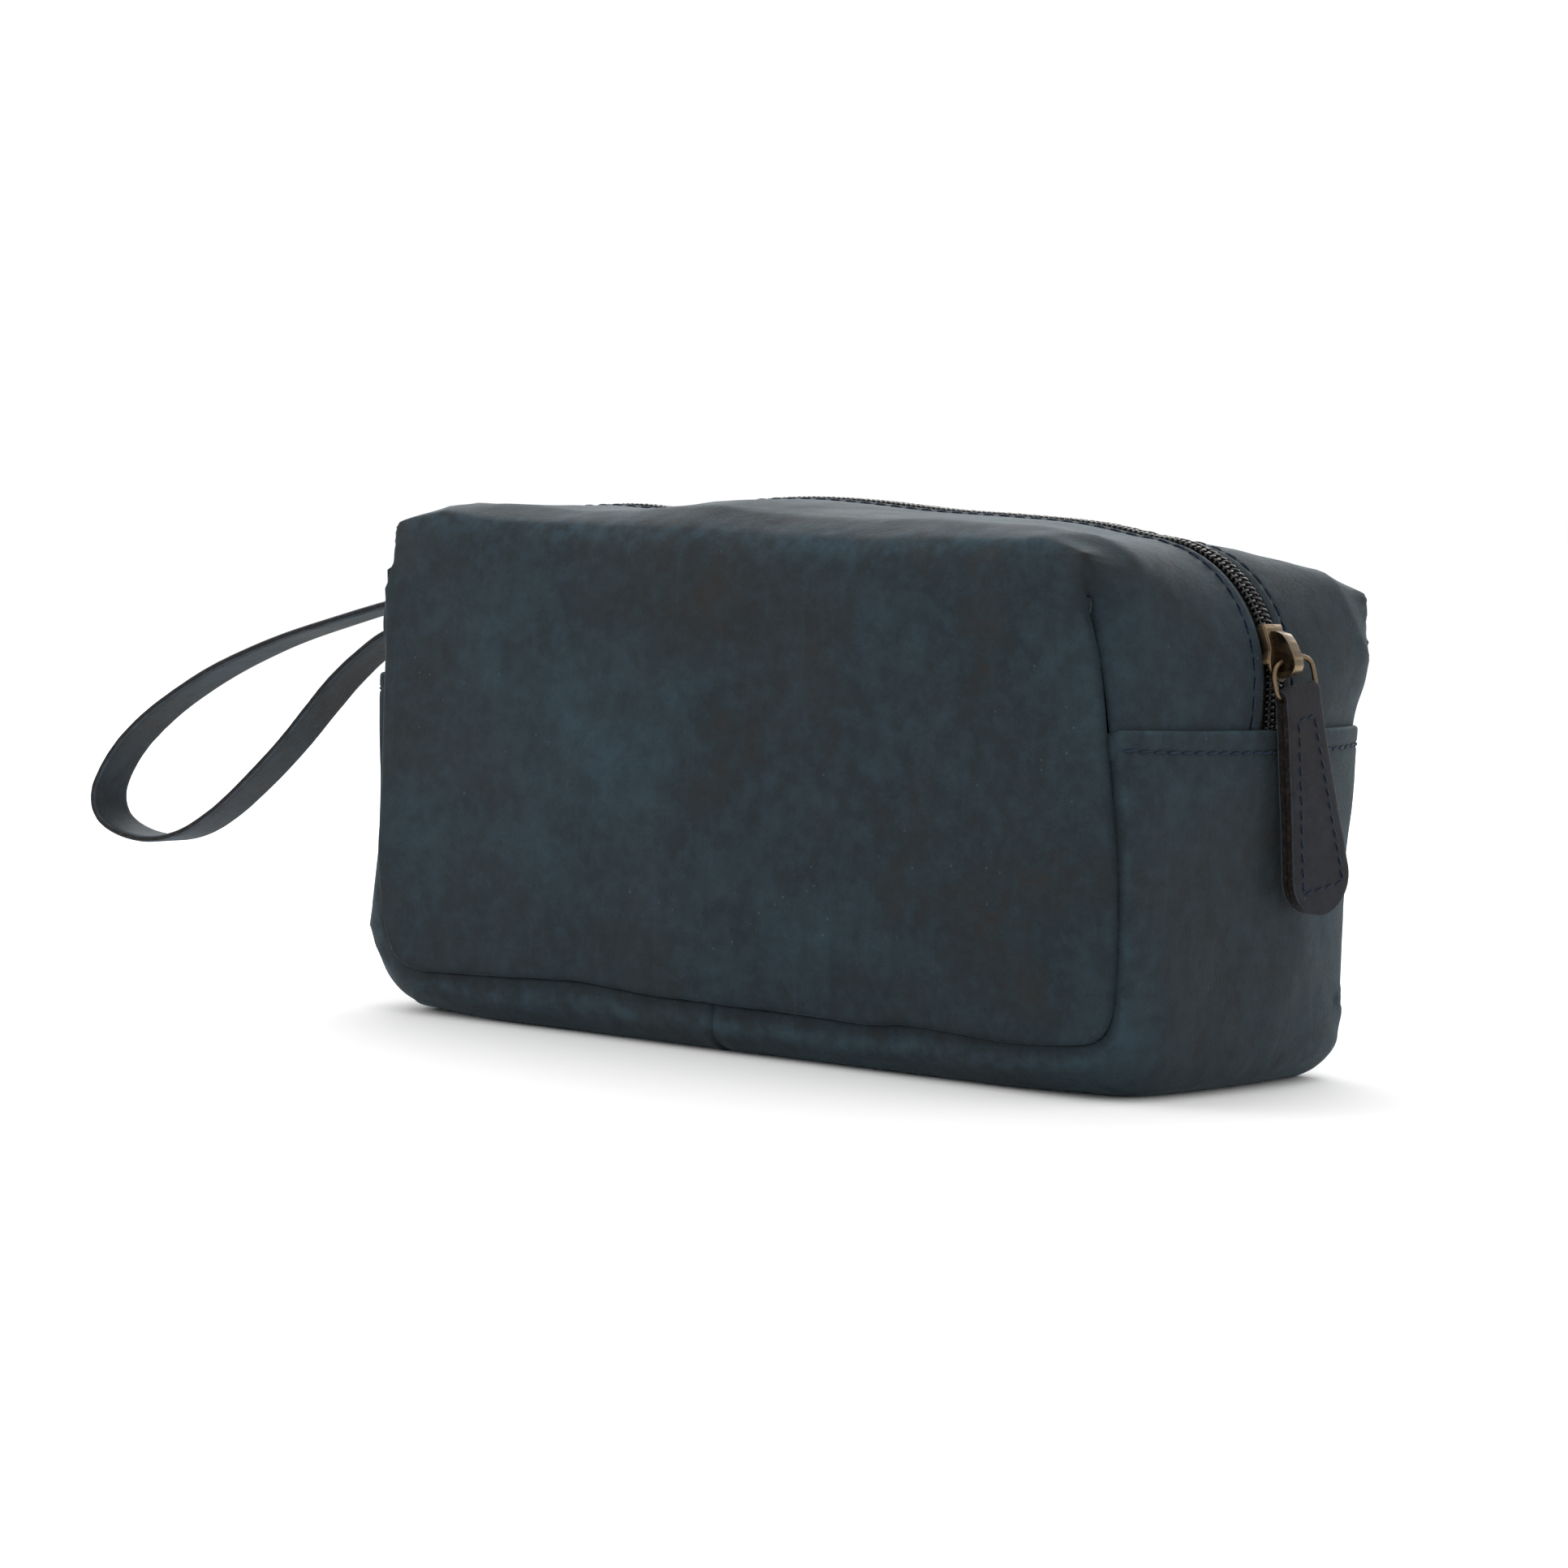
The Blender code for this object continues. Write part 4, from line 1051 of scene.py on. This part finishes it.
def build_pull():
    A = tab_stations()
    centre = []
    for a in A:
        centre.append((a, TAB_T / 2, 0.09))
    front = [(np.array([o, a]), np.array([i, a])) for a, o, i in centre]
    fold = []
    for k in np.linspace(0, math.pi, 19):
        ro, ri = TAB_T / 2, 1.0
        c, s = math.cos(k), math.sin(k)
        fold.append((np.array([ro * c, -ro * s]), np.array([ri * c, -ri * s])))
    trans = [(np.array([TAB_T / 2, a]), np.array([0.09 + (1.0 - 0.09) * (1 - smooth01(a / 2.5)), a])) for a in (1.8, 1.2, 0.6)]
    back = [(np.array([-p[0][0], p[0][1]]), np.array([-p[1][0], p[1][1]])) for p in reversed(front)]
    trans2 = [(np.array([-p[0][0], p[0][1]]), np.array([-p[1][0], p[1][1]])) for p in reversed(trans)]
    stations = front + trans + fold + trans2 + back
    across = np.concatenate([[-1, -0.985, -0.95, -0.85], np.linspace(-0.7, 0.7, 9), [0.85, 0.95, 0.985, 1]])
    V, tag = [], []
    for si, (o, i) in enumerate(stations):
        a_mid = max(o[1], 0.0)
        w = float(tab_width(np.array(a_mid)))
        w -= 0.25 * (si > len(front) + len(trans) + 9)
        w = max(w, 0.6)
        for x in across:  # outer side, edges rounded off
            rnd = 0.42 * max(0.0, (abs(x) - 0.85) / 0.15) ** 2.0 * (1 if w > 3 else w / 3)
            q = o + (i - o) * (rnd / max(np.linalg.norm(i - o), 0.1))
            V.append(tab_world(x * w, q[1], q[0]))
            tag.append(0.0 if abs(x) < 0.97 else 0.6)
        for f in (0.35, 0.65):
            q = o + (i - o) * f
            V.append(tab_world(w + 0.04, q[1], q[0]))
            tag.append(1.0)
        for x in across[::-1]:
            rnd = 0.22 * max(0.0, (abs(x) - 0.85) / 0.15) ** 2.0
            q = i + (o - i) * (rnd / max(np.linalg.norm(i - o), 0.1))
            V.append(tab_world(x * w, q[1], q[0]))
            tag.append(1.0)
        for f in (0.65, 0.35):
            q = o + (i - o) * f
            V.append(tab_world(-w - 0.04, q[1], q[0]))
            tag.append(1.0)
    m = len(across) * 2 + 4
    ns = len(stations)
    F = []
    for k in range(ns - 1):
        for j in range(m):
            F.append((k * m + j, k * m + (j + 1) % m, (k + 1) * m + (j + 1) % m, (k + 1) * m + j))
    V = np.array(V)
    tag = np.array(tag)
    # end caps, cut edge
    V = np.concatenate([V, V[:m].mean(0)[None], V[(ns - 1) * m :][:m].mean(0)[None]])
    tag = np.concatenate([tag, [1, 1]])
    for j in range(m):
        F.append((ns * m, (j + 1) % m, j))
        F.append((ns * m + 1, (ns - 1) * m + j, (ns - 1) * m + (j + 1) % m))
    rough = noise3(V, 1.3, 8.8, 2)
    centre_dir = V - tab_world(0, 30, 0)
    centre_dir -= (centre_dir @ OUT)[:, None] * OUT
    centre_dir /= np.linalg.norm(centre_dir, axis=1)[:, None] + 1e-9
    V = V + centre_dir * (0.16 * rough * (tag > 0.9))[:, None]
    soft = noise3(V, 14.0, 1.8, 2)
    V += OUT * (0.18 * soft)[:, None]
    ob = mesh_object("pull_leather", V, F)
    attribute(ob, "raw", tag)
    attribute(ob, "wear_and_sheen", np.clip(np.where((tag > 0.3) & (tag < 0.9), 0.7, 0.0), 0, 1))
    bm = bmesh.new()
    bm.from_mesh(ob.data)
    bmesh.ops.recalc_face_normals(bm, faces=bm.faces)
    bm.to_mesh(ob.data)
    bm.free()
    ob.data.set_sharp_from_angle(angle=math.radians(60))
    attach(ob, "pull")
    return ob


PULL = build_pull()


def pull_stitch_path():
    top, bottom = 6.4, END_AT - 7.2
    f = np.linspace(0, 1, 40)
    a = top + (bottom - top) * f
    w = np.array([float(tab_width(np.array(v))) for v in a]) - 3.0
    w = np.minimum(w, w[int(0.9 * 39)])
    w = 3.25 + (w.max() - 3.25) * f**1.1
    return a, w


a, w = pull_stitch_path()
tree = surface_tree(PULL)
parts = []
for out in (1, -1):
    X_ = TAB_T / 2 * out
    outward = lambda c, o=out: OUT * o
    runs = [
        [tab_world(-w[i], a[i], X_) for i in range(len(a))],
        [tab_world(x, a[-1], X_) for x in np.linspace(-w[-1], w[-1], 14)],
        [tab_world(w[i], a[i], X_) for i in range(len(a) - 1, -1, -1)],
        [tab_world(x, a[0], X_) for x in np.linspace(w[0], -w[0], 8)],
    ]
    for r in runs:
        parts += run_of_stitches(r, tree, 3.9, radius=0.30, gap=0.18, slant=0.45, lift=0.02, outward=outward)
pull_stitches = merged("pull_stitches", parts)
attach(pull_stitches, "pull")

# ------------------------------------------------------------------ wrist strap
STRAP_ROUTE = [
    (-137.1, 94.0), (-137.1, 97.0), (-138.6, 108.0), (-145.0, 116.8), (-157.0, 118.9), (-173.0, 115.2), (-196.0, 108.6),
    (-218.0, 101.6), (-240.0, 92.6), (-256.2, 84.0), (-269.8, 75.2), (-281.0, 65.5), (-288.0, 56.0),
    (-290.4, 48.6), (-287.4, 42.0), (-278.4, 38.0), (-266.0, 37.0), (-252.8, 40.0), (-239.9, 47.2),
    (-227.4, 57.0), (-213.8, 69.3), (-202.3, 81.3), (-193.4, 90.4), (-183.6, 98.6), (-172.0, 106.2),
    (-159.0, 110.2), (-147.5, 108.6), (-141.2, 103.0), (-139.8, 97.0), (-139.6, 94.0),
]


def build_strap():
    keys = [(i, x, z) for i, (x, z) in enumerate(STRAP_ROUTE)]
    q = np.linspace(0, len(keys) - 1, 260)
    c = hermite(keys, q)
    d = np.gradient(c, axis=0)
    d /= np.linalg.norm(d, axis=1)[:, None]
    nrm = np.stack([d[:, 1], -d[:, 0]], 1)
    across = np.concatenate([[-1, -0.985, -0.94, -0.86], np.linspace(-0.7, 0.7, 8), [0.86, 0.94, 0.985, 1]])
    V, tag = [], []
    wide, thick = 7.5, 1.0
    L = np.concatenate([[0], np.cumsum(np.linalg.norm(np.diff(c, axis=0), axis=1))])
    for k in range(len(q)):
        ctr = np.array([c[k, 0], 0.0, c[k, 1]])
        nn = np.array([nrm[k, 0], 0.0, nrm[k, 1]])
        w = wide * (1 + 0.015 * math.sin(L[k] / 17.0) + 0.01 * math.sin(L[k] / 6.1))
        sway = 0.5 * math.sin(L[k] / 60.0) * smooth01(np.array(min(L[k], L[-1] - L[k]) / 40))
        tw = 0.03 * math.sin(L[k] / 45.0 + 1) * float(smooth01(np.array(min(L[k], L[-1] - L[k]) / 40)))
        for out in (1, -1):
            for x in (across if out > 0 else across[::-1]):
                h_ = thick * (1 - 0.5 * max(0.0, (abs(x) - 0.86) / 0.14) ** 2.2)
                V.append(ctr + nn * (out * h_ + tw * x * w) + np.array([0, x * w + sway, 0]))
                tag.append(1.0 if abs(x) > 0.99 else (0.5 if abs(x) > 0.93 else 0.0))
    m = len(across) * 2
    F = []
    n_ = len(q)
    for k in range(n_ - 1):
        for j in range(m):
            F.append((k * m + j, (k + 1) * m + j, (k + 1) * m + (j + 1) % m, k * m + (j + 1) % m))
    V = np.array(V)
    V = np.concatenate([V, V[:m].mean(0)[None], V[-m:].mean(0)[None]])
    tag = np.array(tag + [1, 1])
    for j in range(m):
        F.append((n_ * m, j, (j + 1) % m))
        F.append((n_ * m + 1, (n_ - 1) * m + (j + 1) % m, (n_ - 1) * m + j))
    V += np.stack([0 * V[:, 0], 0.12 * noise3(V, 3.0, 6.6, 2) * (tag > 0.4), 0 * V[:, 0]], 1)
    ob = mesh_object("strap_leather", V, F)
    attribute(ob, "raw", np.clip(tag, 0, 1) * 0.8)
    attribute(ob, "wear_and_sheen", np.where((tag > 0.3) & (tag < 0.9), 0.8, 0.0))
    bm = bmesh.new()
    bm.from_mesh(ob.data)
    bmesh.ops.recalc_face_normals(bm, faces=bm.faces)
    bm.to_mesh(ob.data)
    bm.free()
    return ob


STRAP = build_strap()
co = np.array([v.co for v in STRAP.data.vertices]) * 1000
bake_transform(STRAP, "root", "strap", (-0.1382, 0, 0.094), (-0.1382, 0, 0.110))
# both legs bend over the first 14 mm above the hem
attribute(STRAP, "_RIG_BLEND", np.where(co[:, 0] < -150, 1.0, smooth01((co[:, 2] - 94.5) / 14)))

# ------------------------------------------------------------------ materials


class Look:
    """Small helper for node materials."""

    def __init__(self, name):
        self.m = bpy.data.materials.new(name)
        self.m.use_nodes = True
        self.t = self.m.node_tree
        self.b = self.t.nodes["Principled BSDF"]
        self.coord = self.t.nodes.new("ShaderNodeTexCoord").outputs["Object"]

    def node(self, kind, **inputs):
        n = self.t.nodes.new(kind)
        for k, v in inputs.items():
            key = k.replace("_", " ")
            if isinstance(v, bpy.types.NodeSocket):
                self.t.links.new(v, n.inputs[key])
            else:
                n.inputs[key].default_value = v
        return n

    def scaled(self, sx, sy, sz, off=0.0):
        n = self.t.nodes.new("ShaderNodeMapping")
        self.t.links.new(self.coord, n.inputs["Vector"])
        n.inputs["Scale"].default_value = (sx, sy, sz)
        n.inputs["Location"].default_value = (off, off * 1.7, off * 0.6)
        return n.outputs["Vector"]

    def noise(self, scale, detail=4.0, rough=0.55, vec=None, distortion=0.0, off=0.0):
        n = self.node("ShaderNodeTexNoise", Scale=scale, Detail=detail, Roughness=rough, Distortion=distortion)
        self.t.links.new(vec if vec is not None else self.scaled(1, 1, 1, off), n.inputs["Vector"])
        return n.outputs["Fac"]

    def voronoi(self, scale, feature="F1", vec=None, randomness=1.0):
        n = self.t.nodes.new("ShaderNodeTexVoronoi")
        n.feature = feature
        n.inputs["Scale"].default_value = scale
        n.inputs["Randomness"].default_value = randomness
        self.t.links.new(vec if vec is not None else self.coord, n.inputs["Vector"])
        return n

    def ramp(self, fac, stops, smooth=False):
        n = self.t.nodes.new("ShaderNodeValToRGB")
        cr = n.color_ramp
        if smooth:
            cr.interpolation = "EASE"
        while len(cr.elements) < len(stops):
            cr.elements.new(0.5)
        for e, (p, c) in zip(cr.elements, stops):
            e.position = p
            e.color = c if len(c) == 4 else (*c, 1)
        self.t.links.new(fac, n.inputs["Fac"])
        return n.outputs["Color"]

    def grey(self, fac, stops):
        return self.ramp(fac, [(p, (v, v, v)) for p, v in stops])

    def mix(self, fac, a, b, mode="MIX"):
        n = self.t.nodes.new("ShaderNodeMix")
        n.data_type = "RGBA"
        n.blend_type = mode
        n.clamp_factor = True
        for sock, v in ((n.inputs[0], fac), (n.inputs[6], a), (n.inputs[7], b)):
            if isinstance(v, bpy.types.NodeSocket):
                self.t.links.new(v, sock)
            else:
                sock.default_value = v if not isinstance(v, tuple) or len(v) == 4 else (*v, 1)
        return n.outputs[2]

    def math(self, op, a, b=None):
        n = self.t.nodes.new("ShaderNodeMath")
        n.operation = op
        for i, v in enumerate((a, b)):
            if v is None:
                continue
            if isinstance(v, bpy.types.NodeSocket):
                self.t.links.new(v, n.inputs[i])
            else:
                n.inputs[i].default_value = v
        return n.outputs[0]

    def attr(self, name):
        n = self.t.nodes.new("ShaderNodeAttribute")
        n.attribute_name = name
        return n.outputs["Fac"]

    def bump(self, height, strength, distance, after=None):
        n = self.t.nodes.new("ShaderNodeBump")
        n.inputs["Strength"].default_value = strength
        n.inputs["Distance"].default_value = distance
        self.t.links.new(height, n.inputs["Height"])
        if after is not None:
            self.t.links.new(after, n.inputs["Normal"])
        return n.outputs["Normal"]

    def set(self, **kw):
        for k, v in kw.items():
            key = k.replace("_", " ")
            if isinstance(v, bpy.types.NodeSocket):
                self.t.links.new(v, self.b.inputs[key])
            else:
                self.b.inputs[key].default_value = v
        return self.m


def nubuck(name, dark, base, light, brown, raw=False, mottle=1.0, seed=0.0):
    k = Look(name)
    big = k.noise(15.0, 5.0, 0.55, distortion=0.6, off=1.3 + seed)
    mid_ = k.noise(42.0, 6.0, 0.62, distortion=0.4, off=4.1 + seed)
    small = k.noise(190.0, 5.0, 0.65, off=2.2 + seed)
    streak = k.noise(1.0, 5.0, 0.6, vec=k.scaled(260, 200, 26, seed))
    tone = k.math("ADD", k.math("MULTIPLY", big, 0.50), k.math("ADD", k.math("MULTIPLY", mid_, 0.28), k.math("MULTIPLY", small, 0.22)))
    col = k.ramp(tone, [(0.38, brown), (0.45, dark), (0.53, base), (0.66, light)])
    warm = k.grey(k.noise(11.0, 4.0, 0.5, distortion=0.8, off=7.7 + seed), [(0.45, 0.0), (0.66, 0.62)])
    col = k.mix(warm, col, brown)
    col = k.mix(k.grey(small, [(0.42, 0.0), (0.74, 0.35)]), col, light)
    col = k.mix(k.grey(streak, [(0.56, 0.0), (0.75, 0.30)]), col, light)
    # fine pores, and a few pale specks
    pores = k.voronoi(1500.0)
    pore = k.grey(pores.outputs["Distance"], [(0.10, 1.0), (0.34, 0.0)])
    keep = k.grey(k.noise(500.0, 2.0, off=3.0), [(0.42, 0.0), (0.56, 1.0)])
    col = k.mix(k.math("MULTIPLY", k.math("MULTIPLY", pore, keep), 0.62), col, tuple(v * 0.35 for v in dark))
    specks = k.voronoi(260.0)
    spk = k.math("MULTIPLY", k.grey(specks.outputs["Distance"], [(0.05, 1.0), (0.10, 0.0)]), k.grey(specks.outputs["Color"], [(0.70, 0.0), (0.74, 1.0)]))
    col = k.mix(k.math("MULTIPLY", spk, 0.22), col, (0.15, 0.17, 0.18))
    # wear, and on the top fold also painted highlight: lightens towards a pale tone where the mask is set
    pale = tuple(v * 1.9 for v in light)
    col = k.mix(k.math("MULTIPLY", k.attr("wear_and_sheen"), k.grey(small, [(0.35, 0.20), (0.68, 0.80)])), col, pale)
    if not raw:
        col = k.mix(k.math("MULTIPLY", k.attr("burnt"), 0.75), col, (0.030, 0.026, 0.025))
        # painted shade: near black in the seam grooves and in the recesses below the knuckles
        col = k.mix(k.attr("seam_shade"), col, (0.0045, 0.0062, 0.0080))
    grain = k.noise(900.0, 6.0, 0.7, off=5.0)
    nap = k.noise(2600.0, 3.0, 0.6, off=8.0)
    h = k.math("ADD", k.math("MULTIPLY", grain, 0.7), k.math("MULTIPLY", nap, 0.4))
    h = k.math("SUBTRACT", h, k.math("MULTIPLY", pore, 0.45))
    rough = k.grey(k.math("ADD", k.math("MULTIPLY", mid_, 0.6), k.math("MULTIPLY", grain, 0.4)), [(0.35, 0.64), (0.65, 0.76)])
    if raw:
        fib = k.noise(1.0, 6.0, 0.75, vec=k.scaled(1500, 420, 420))
        cut = k.ramp(k.noise(700.0, 6.0, 0.75), [(0.35, (0.006, 0.005, 0.005)), (0.55, (0.020, 0.016, 0.014)), (0.70, (0.060, 0.045, 0.035))])
        edge = k.grey(k.attr("raw"), [(0.62, 0.0), (0.85, 1.0)])
        col = k.mix(edge, col, cut)
        h = k.math("ADD", h, k.math("MULTIPLY", k.math("MULTIPLY", fib, edge), 2.2))
        rough = k.mix(edge, rough, (0.9, 0.9, 0.9))
    n = k.bump(h, 0.55, 0.00035)
    n = k.bump(k.noise(120.0, 4.0, 0.5, off=2.0), 0.25, 0.0012, after=n)
    k.set(Base_Color=col, Roughness=rough, Normal=n)
    k.b.inputs["Specular IOR Level"].default_value = 0.15
    k.b.inputs["Sheen Weight"].default_value = 0.17
    k.b.inputs["Sheen Roughness"].default_value = 0.22
    k.b.inputs["Sheen Tint"].default_value = (0.52, 0.76, 0.9, 1)
    return k.m


BODY = nubuck("nubuck_body", (0.0118, 0.0182, 0.0225), (0.0148, 0.0258, 0.0330), (0.0230, 0.0420, 0.0545), (0.0175, 0.0178, 0.0185))
STRAP_MAT = nubuck("nubuck_strap", (0.0180, 0.0205, 0.0235), (0.0230, 0.0300, 0.0360), (0.0330, 0.0460, 0.0600), (0.0260, 0.0235, 0.0230), raw=True, seed=5.0)
PULL_MAT = nubuck("nubuck_pull", (0.0140, 0.0145, 0.0180), (0.0180, 0.0190, 0.0245), (0.0270, 0.0310, 0.0410), (0.0190, 0.0170, 0.0180), raw=True, seed=9.0)


def cloth_material():
    k = Look("lining_weave")
    wx = k.node("ShaderNodeTexWave", Scale=420.0, Distortion=0.3)
    wx.bands_direction = "X"
    wz = k.node("ShaderNodeTexWave", Scale=420.0, Distortion=0.3)
    wz.bands_direction = "Z"
    for w_ in (wx, wz):
        k.t.links.new(k.coord, w_.inputs["Vector"])
    weave = k.math("MULTIPLY", wx.outputs["Fac"], wz.outputs["Fac"])
    col = k.ramp(weave, [(0.1, (0.018, 0.020, 0.024)), (0.7, (0.045, 0.050, 0.058))])
    col = k.mix(k.grey(k.noise(30.0), [(0.4, 0.0), (0.7, 0.4)]), col, (0.02, 0.021, 0.024))
    k.set(Base_Color=col, Roughness=0.85, Normal=k.bump(weave, 0.4, 0.0003))
    k.b.inputs["Sheen Weight"].default_value = 0.2
    return k.m


def tape_material():
    k = Look("zip_weave")
    w_ = k.node("ShaderNodeTexWave", Scale=900.0, Distortion=0.6)
    w_.bands_direction = "DIAGONAL"
    k.t.links.new(k.coord, w_.inputs["Vector"])
    col = k.ramp(w_.outputs["Fac"], [(0.2, (0.004, 0.004, 0.005)), (0.9, (0.020, 0.020, 0.021))])
    col = k.mix(k.grey(k.noise(900.0), [(0.55, 0.0), (0.75, 0.35)]), col, (0.045, 0.044, 0.042))
    k.set(Base_Color=col, Roughness=0.82, Normal=k.bump(w_.outputs["Fac"], 0.5, 0.0003))
    return k.m


def nylon_material():
    k = Look("coil_nylon")
    col = k.ramp(k.noise(160.0, 5.0), [(0.35, (0.002, 0.002, 0.002)), (0.7, (0.006, 0.006, 0.006))])
    dust = k.grey(k.noise(1400.0, 3.0, 0.7), [(0.64, 0.0), (0.76, 0.25)])
    col = k.mix(dust, col, (0.035, 0.034, 0.032))
    k.set(Base_Color=col, Roughness=k.grey(k.noise(500.0), [(0.3, 0.22), (0.7, 0.42)]), Normal=k.bump(k.noise(1500.0, 3.0), 0.2, 0.0001))
    k.b.inputs["Specular IOR Level"].default_value = 0.35
    return k.m


def brass_material():
    k = Look("antique_brass")
    geo = k.t.nodes.new("ShaderNodeNewGeometry")
    wear_and_sheen = k.grey(geo.outputs["Pointiness"], [(0.50, 0.0), (0.56, 1.0)])
    blotch = k.noise(420.0, 6.0, 0.65, distortion=0.5)
    scr = k.noise(1.0, 4.0, 0.6, vec=k.scaled(3800, 500, 500))
    dark = k.ramp(blotch, [(0.33, (0.018, 0.014, 0.010)), (0.52, (0.052, 0.038, 0.024)), (0.70, (0.105, 0.078, 0.049))])
    col = k.mix(k.math("MULTIPLY", wear_and_sheen, 0.8), dark, (0.29, 0.21, 0.125))
    col = k.mix(k.grey(scr, [(0.60, 0.0), (0.72, 0.4)]), col, (0.26, 0.195, 0.12))
    col = k.mix(k.grey(k.noise(1700.0, 3.0), [(0.60, 0.0), (0.70, 0.6)]), col, (0.030, 0.024, 0.018))
    rough = k.grey(blotch, [(0.3, 0.50), (0.7, 0.30)])
    k.set(Base_Color=col, Roughness=rough, Metallic=1.0, Normal=k.bump(k.math("ADD", blotch, k.math("MULTIPLY", scr, 0.5)), 0.25, 0.00012))
    return k.m


def thread_material():
    k = Look("denim_thread")
    ply = k.node("ShaderNodeTexWave", Scale=560.0, Distortion=1.0)
    ply.bands_direction = "DIAGONAL"
    k.t.links.new(k.coord, ply.inputs["Vector"])
    col = k.ramp(ply.outputs["Fac"], [(0.15, (0.004, 0.008, 0.018)), (0.85, (0.016, 0.029, 0.055))])
    col = k.mix(k.grey(k.noise(60.0), [(0.4, 0.0), (0.7, 0.6)]), col, (0.022, 0.034, 0.060))
    k.set(Base_Color=col, Roughness=0.62, Normal=k.bump(ply.outputs["Fac"], 0.6, 0.0002))
    k.b.inputs["Specular IOR Level"].default_value = 0.2
    return k.m


CLOTH, TAPE, NYLON, BRASS, THREAD = cloth_material(), tape_material(), nylon_material(), brass_material(), thread_material()


def dress(ob, mat):
    ob.data.materials.clear()
    ob.data.materials.append(mat)


for key, ob in SURFACE.items():
    if key.endswith("_band"):
        dress(ob, TAPE)
    elif key.endswith("_teeth"):
        dress(ob, NYLON)
    elif "stitches" in key or key.startswith("hem_"):
        dress(ob, THREAD)
    elif "lining" in key:
        dress(ob, CLOTH)
    else:
        dress(ob, BODY)
for ob in (plate_top, plate_low, *walls, post, bridge, ring):
    dress(ob, BRASS)
dress(PULL, PULL_MAT)
dress(pull_stitches, THREAD)
dress(STRAP, STRAP_MAT)

# ------------------------------------------------------------------ what rides on what
for ys, side in ((-1, "front"), (1, "back")):
    for key in (side, side + "_lining", side + "_band", side + "_teeth", side + "_stitches"):
        follow_mouth(SURFACE[key], ys)
for key in ("gusset_right", "gusset_left", "lining_gusset", "hem_right", "hem_left"):
    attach(SURFACE[key], "root")

for side in ("front", "back"):
    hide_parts(f"{side}_panel", f"{side}_wing_right", f"{side}_wing_left", f"{side}_top_flap")
    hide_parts(f"lining_{side}", f"lining_top_{side}")
    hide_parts(*(f"{side}_zip_tape_{e}" for e in ("right", "left", "top")))
    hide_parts(*(f"{side}_zip_coil_{e}" for e in ("right", "left", "top")))
    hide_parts(f"{side}_topstitch")
for end in ("right", "left"):
    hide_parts(f"gusset_{end}")
    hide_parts(f"hem_thread_{end}")
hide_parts("lining_gusset")
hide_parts("slider_body")
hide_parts("slider_bridge")
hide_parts("pull_ring")
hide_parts("pull_tab")
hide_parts("pull_tab_thread")
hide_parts("wrist_strap")

# ------------------------------------------------------------------ floor and light
bm = bmesh.new()
bmesh.ops.create_grid(bm, x_segments=1, y_segments=1, size=40.0)
me = bpy.data.meshes.new("floor")
bm.to_mesh(me)
bm.free()
floor = bpy.data.objects.new("floor", me)
bpy.context.scene.collection.objects.link(floor)
fm = bpy.data.materials.new("paper")
fm.use_nodes = True
fb = fm.node_tree.nodes["Principled BSDF"]
fb.inputs["Base Color"].default_value = (0.985, 0.985, 0.98, 1)
fb.inputs["Roughness"].default_value = 0.9
fb.inputs["Specular IOR Level"].default_value = 0.1
me.materials.append(fm)

world = bpy.data.worlds.new("studio")
bpy.context.scene.world = world
world.use_nodes = True
world.node_tree.nodes["Background"].inputs["Color"].default_value = (1, 1, 1, 1)
world.node_tree.nodes["Background"].inputs["Strength"].default_value = 1.025


def area(name, at, to, size, power, colour=(1, 1, 1)):
    d = bpy.data.lights.new(name, "AREA")
    d.shape = "RECTANGLE"
    d.size, d.size_y = size
    d.energy = power
    d.color = colour
    o = bpy.data.objects.new(name, d)
    bpy.context.scene.collection.objects.link(o)
    o.location = at
    o.rotation_euler = (Vector(to) - Vector(at)).to_track_quat("-Z", "Y").to_euler()
    return o


area("overhead", (-0.1, 0.35, 1.3), (0, 0, 0.1), (1.6, 1.2), 3)
area("behind", (-0.95, 1.45, 0.80), (0, 0, 0.12), (2.2, 0.7), 22)
area("front_left", (-1.3, -1.2, 1.0), (-0.05, 0, 0.10), (0.9, 0.9), 7.0)
bpy.context.scene.view_settings.view_transform = "Standard"
bpy.context.scene.view_settings.look = "None"
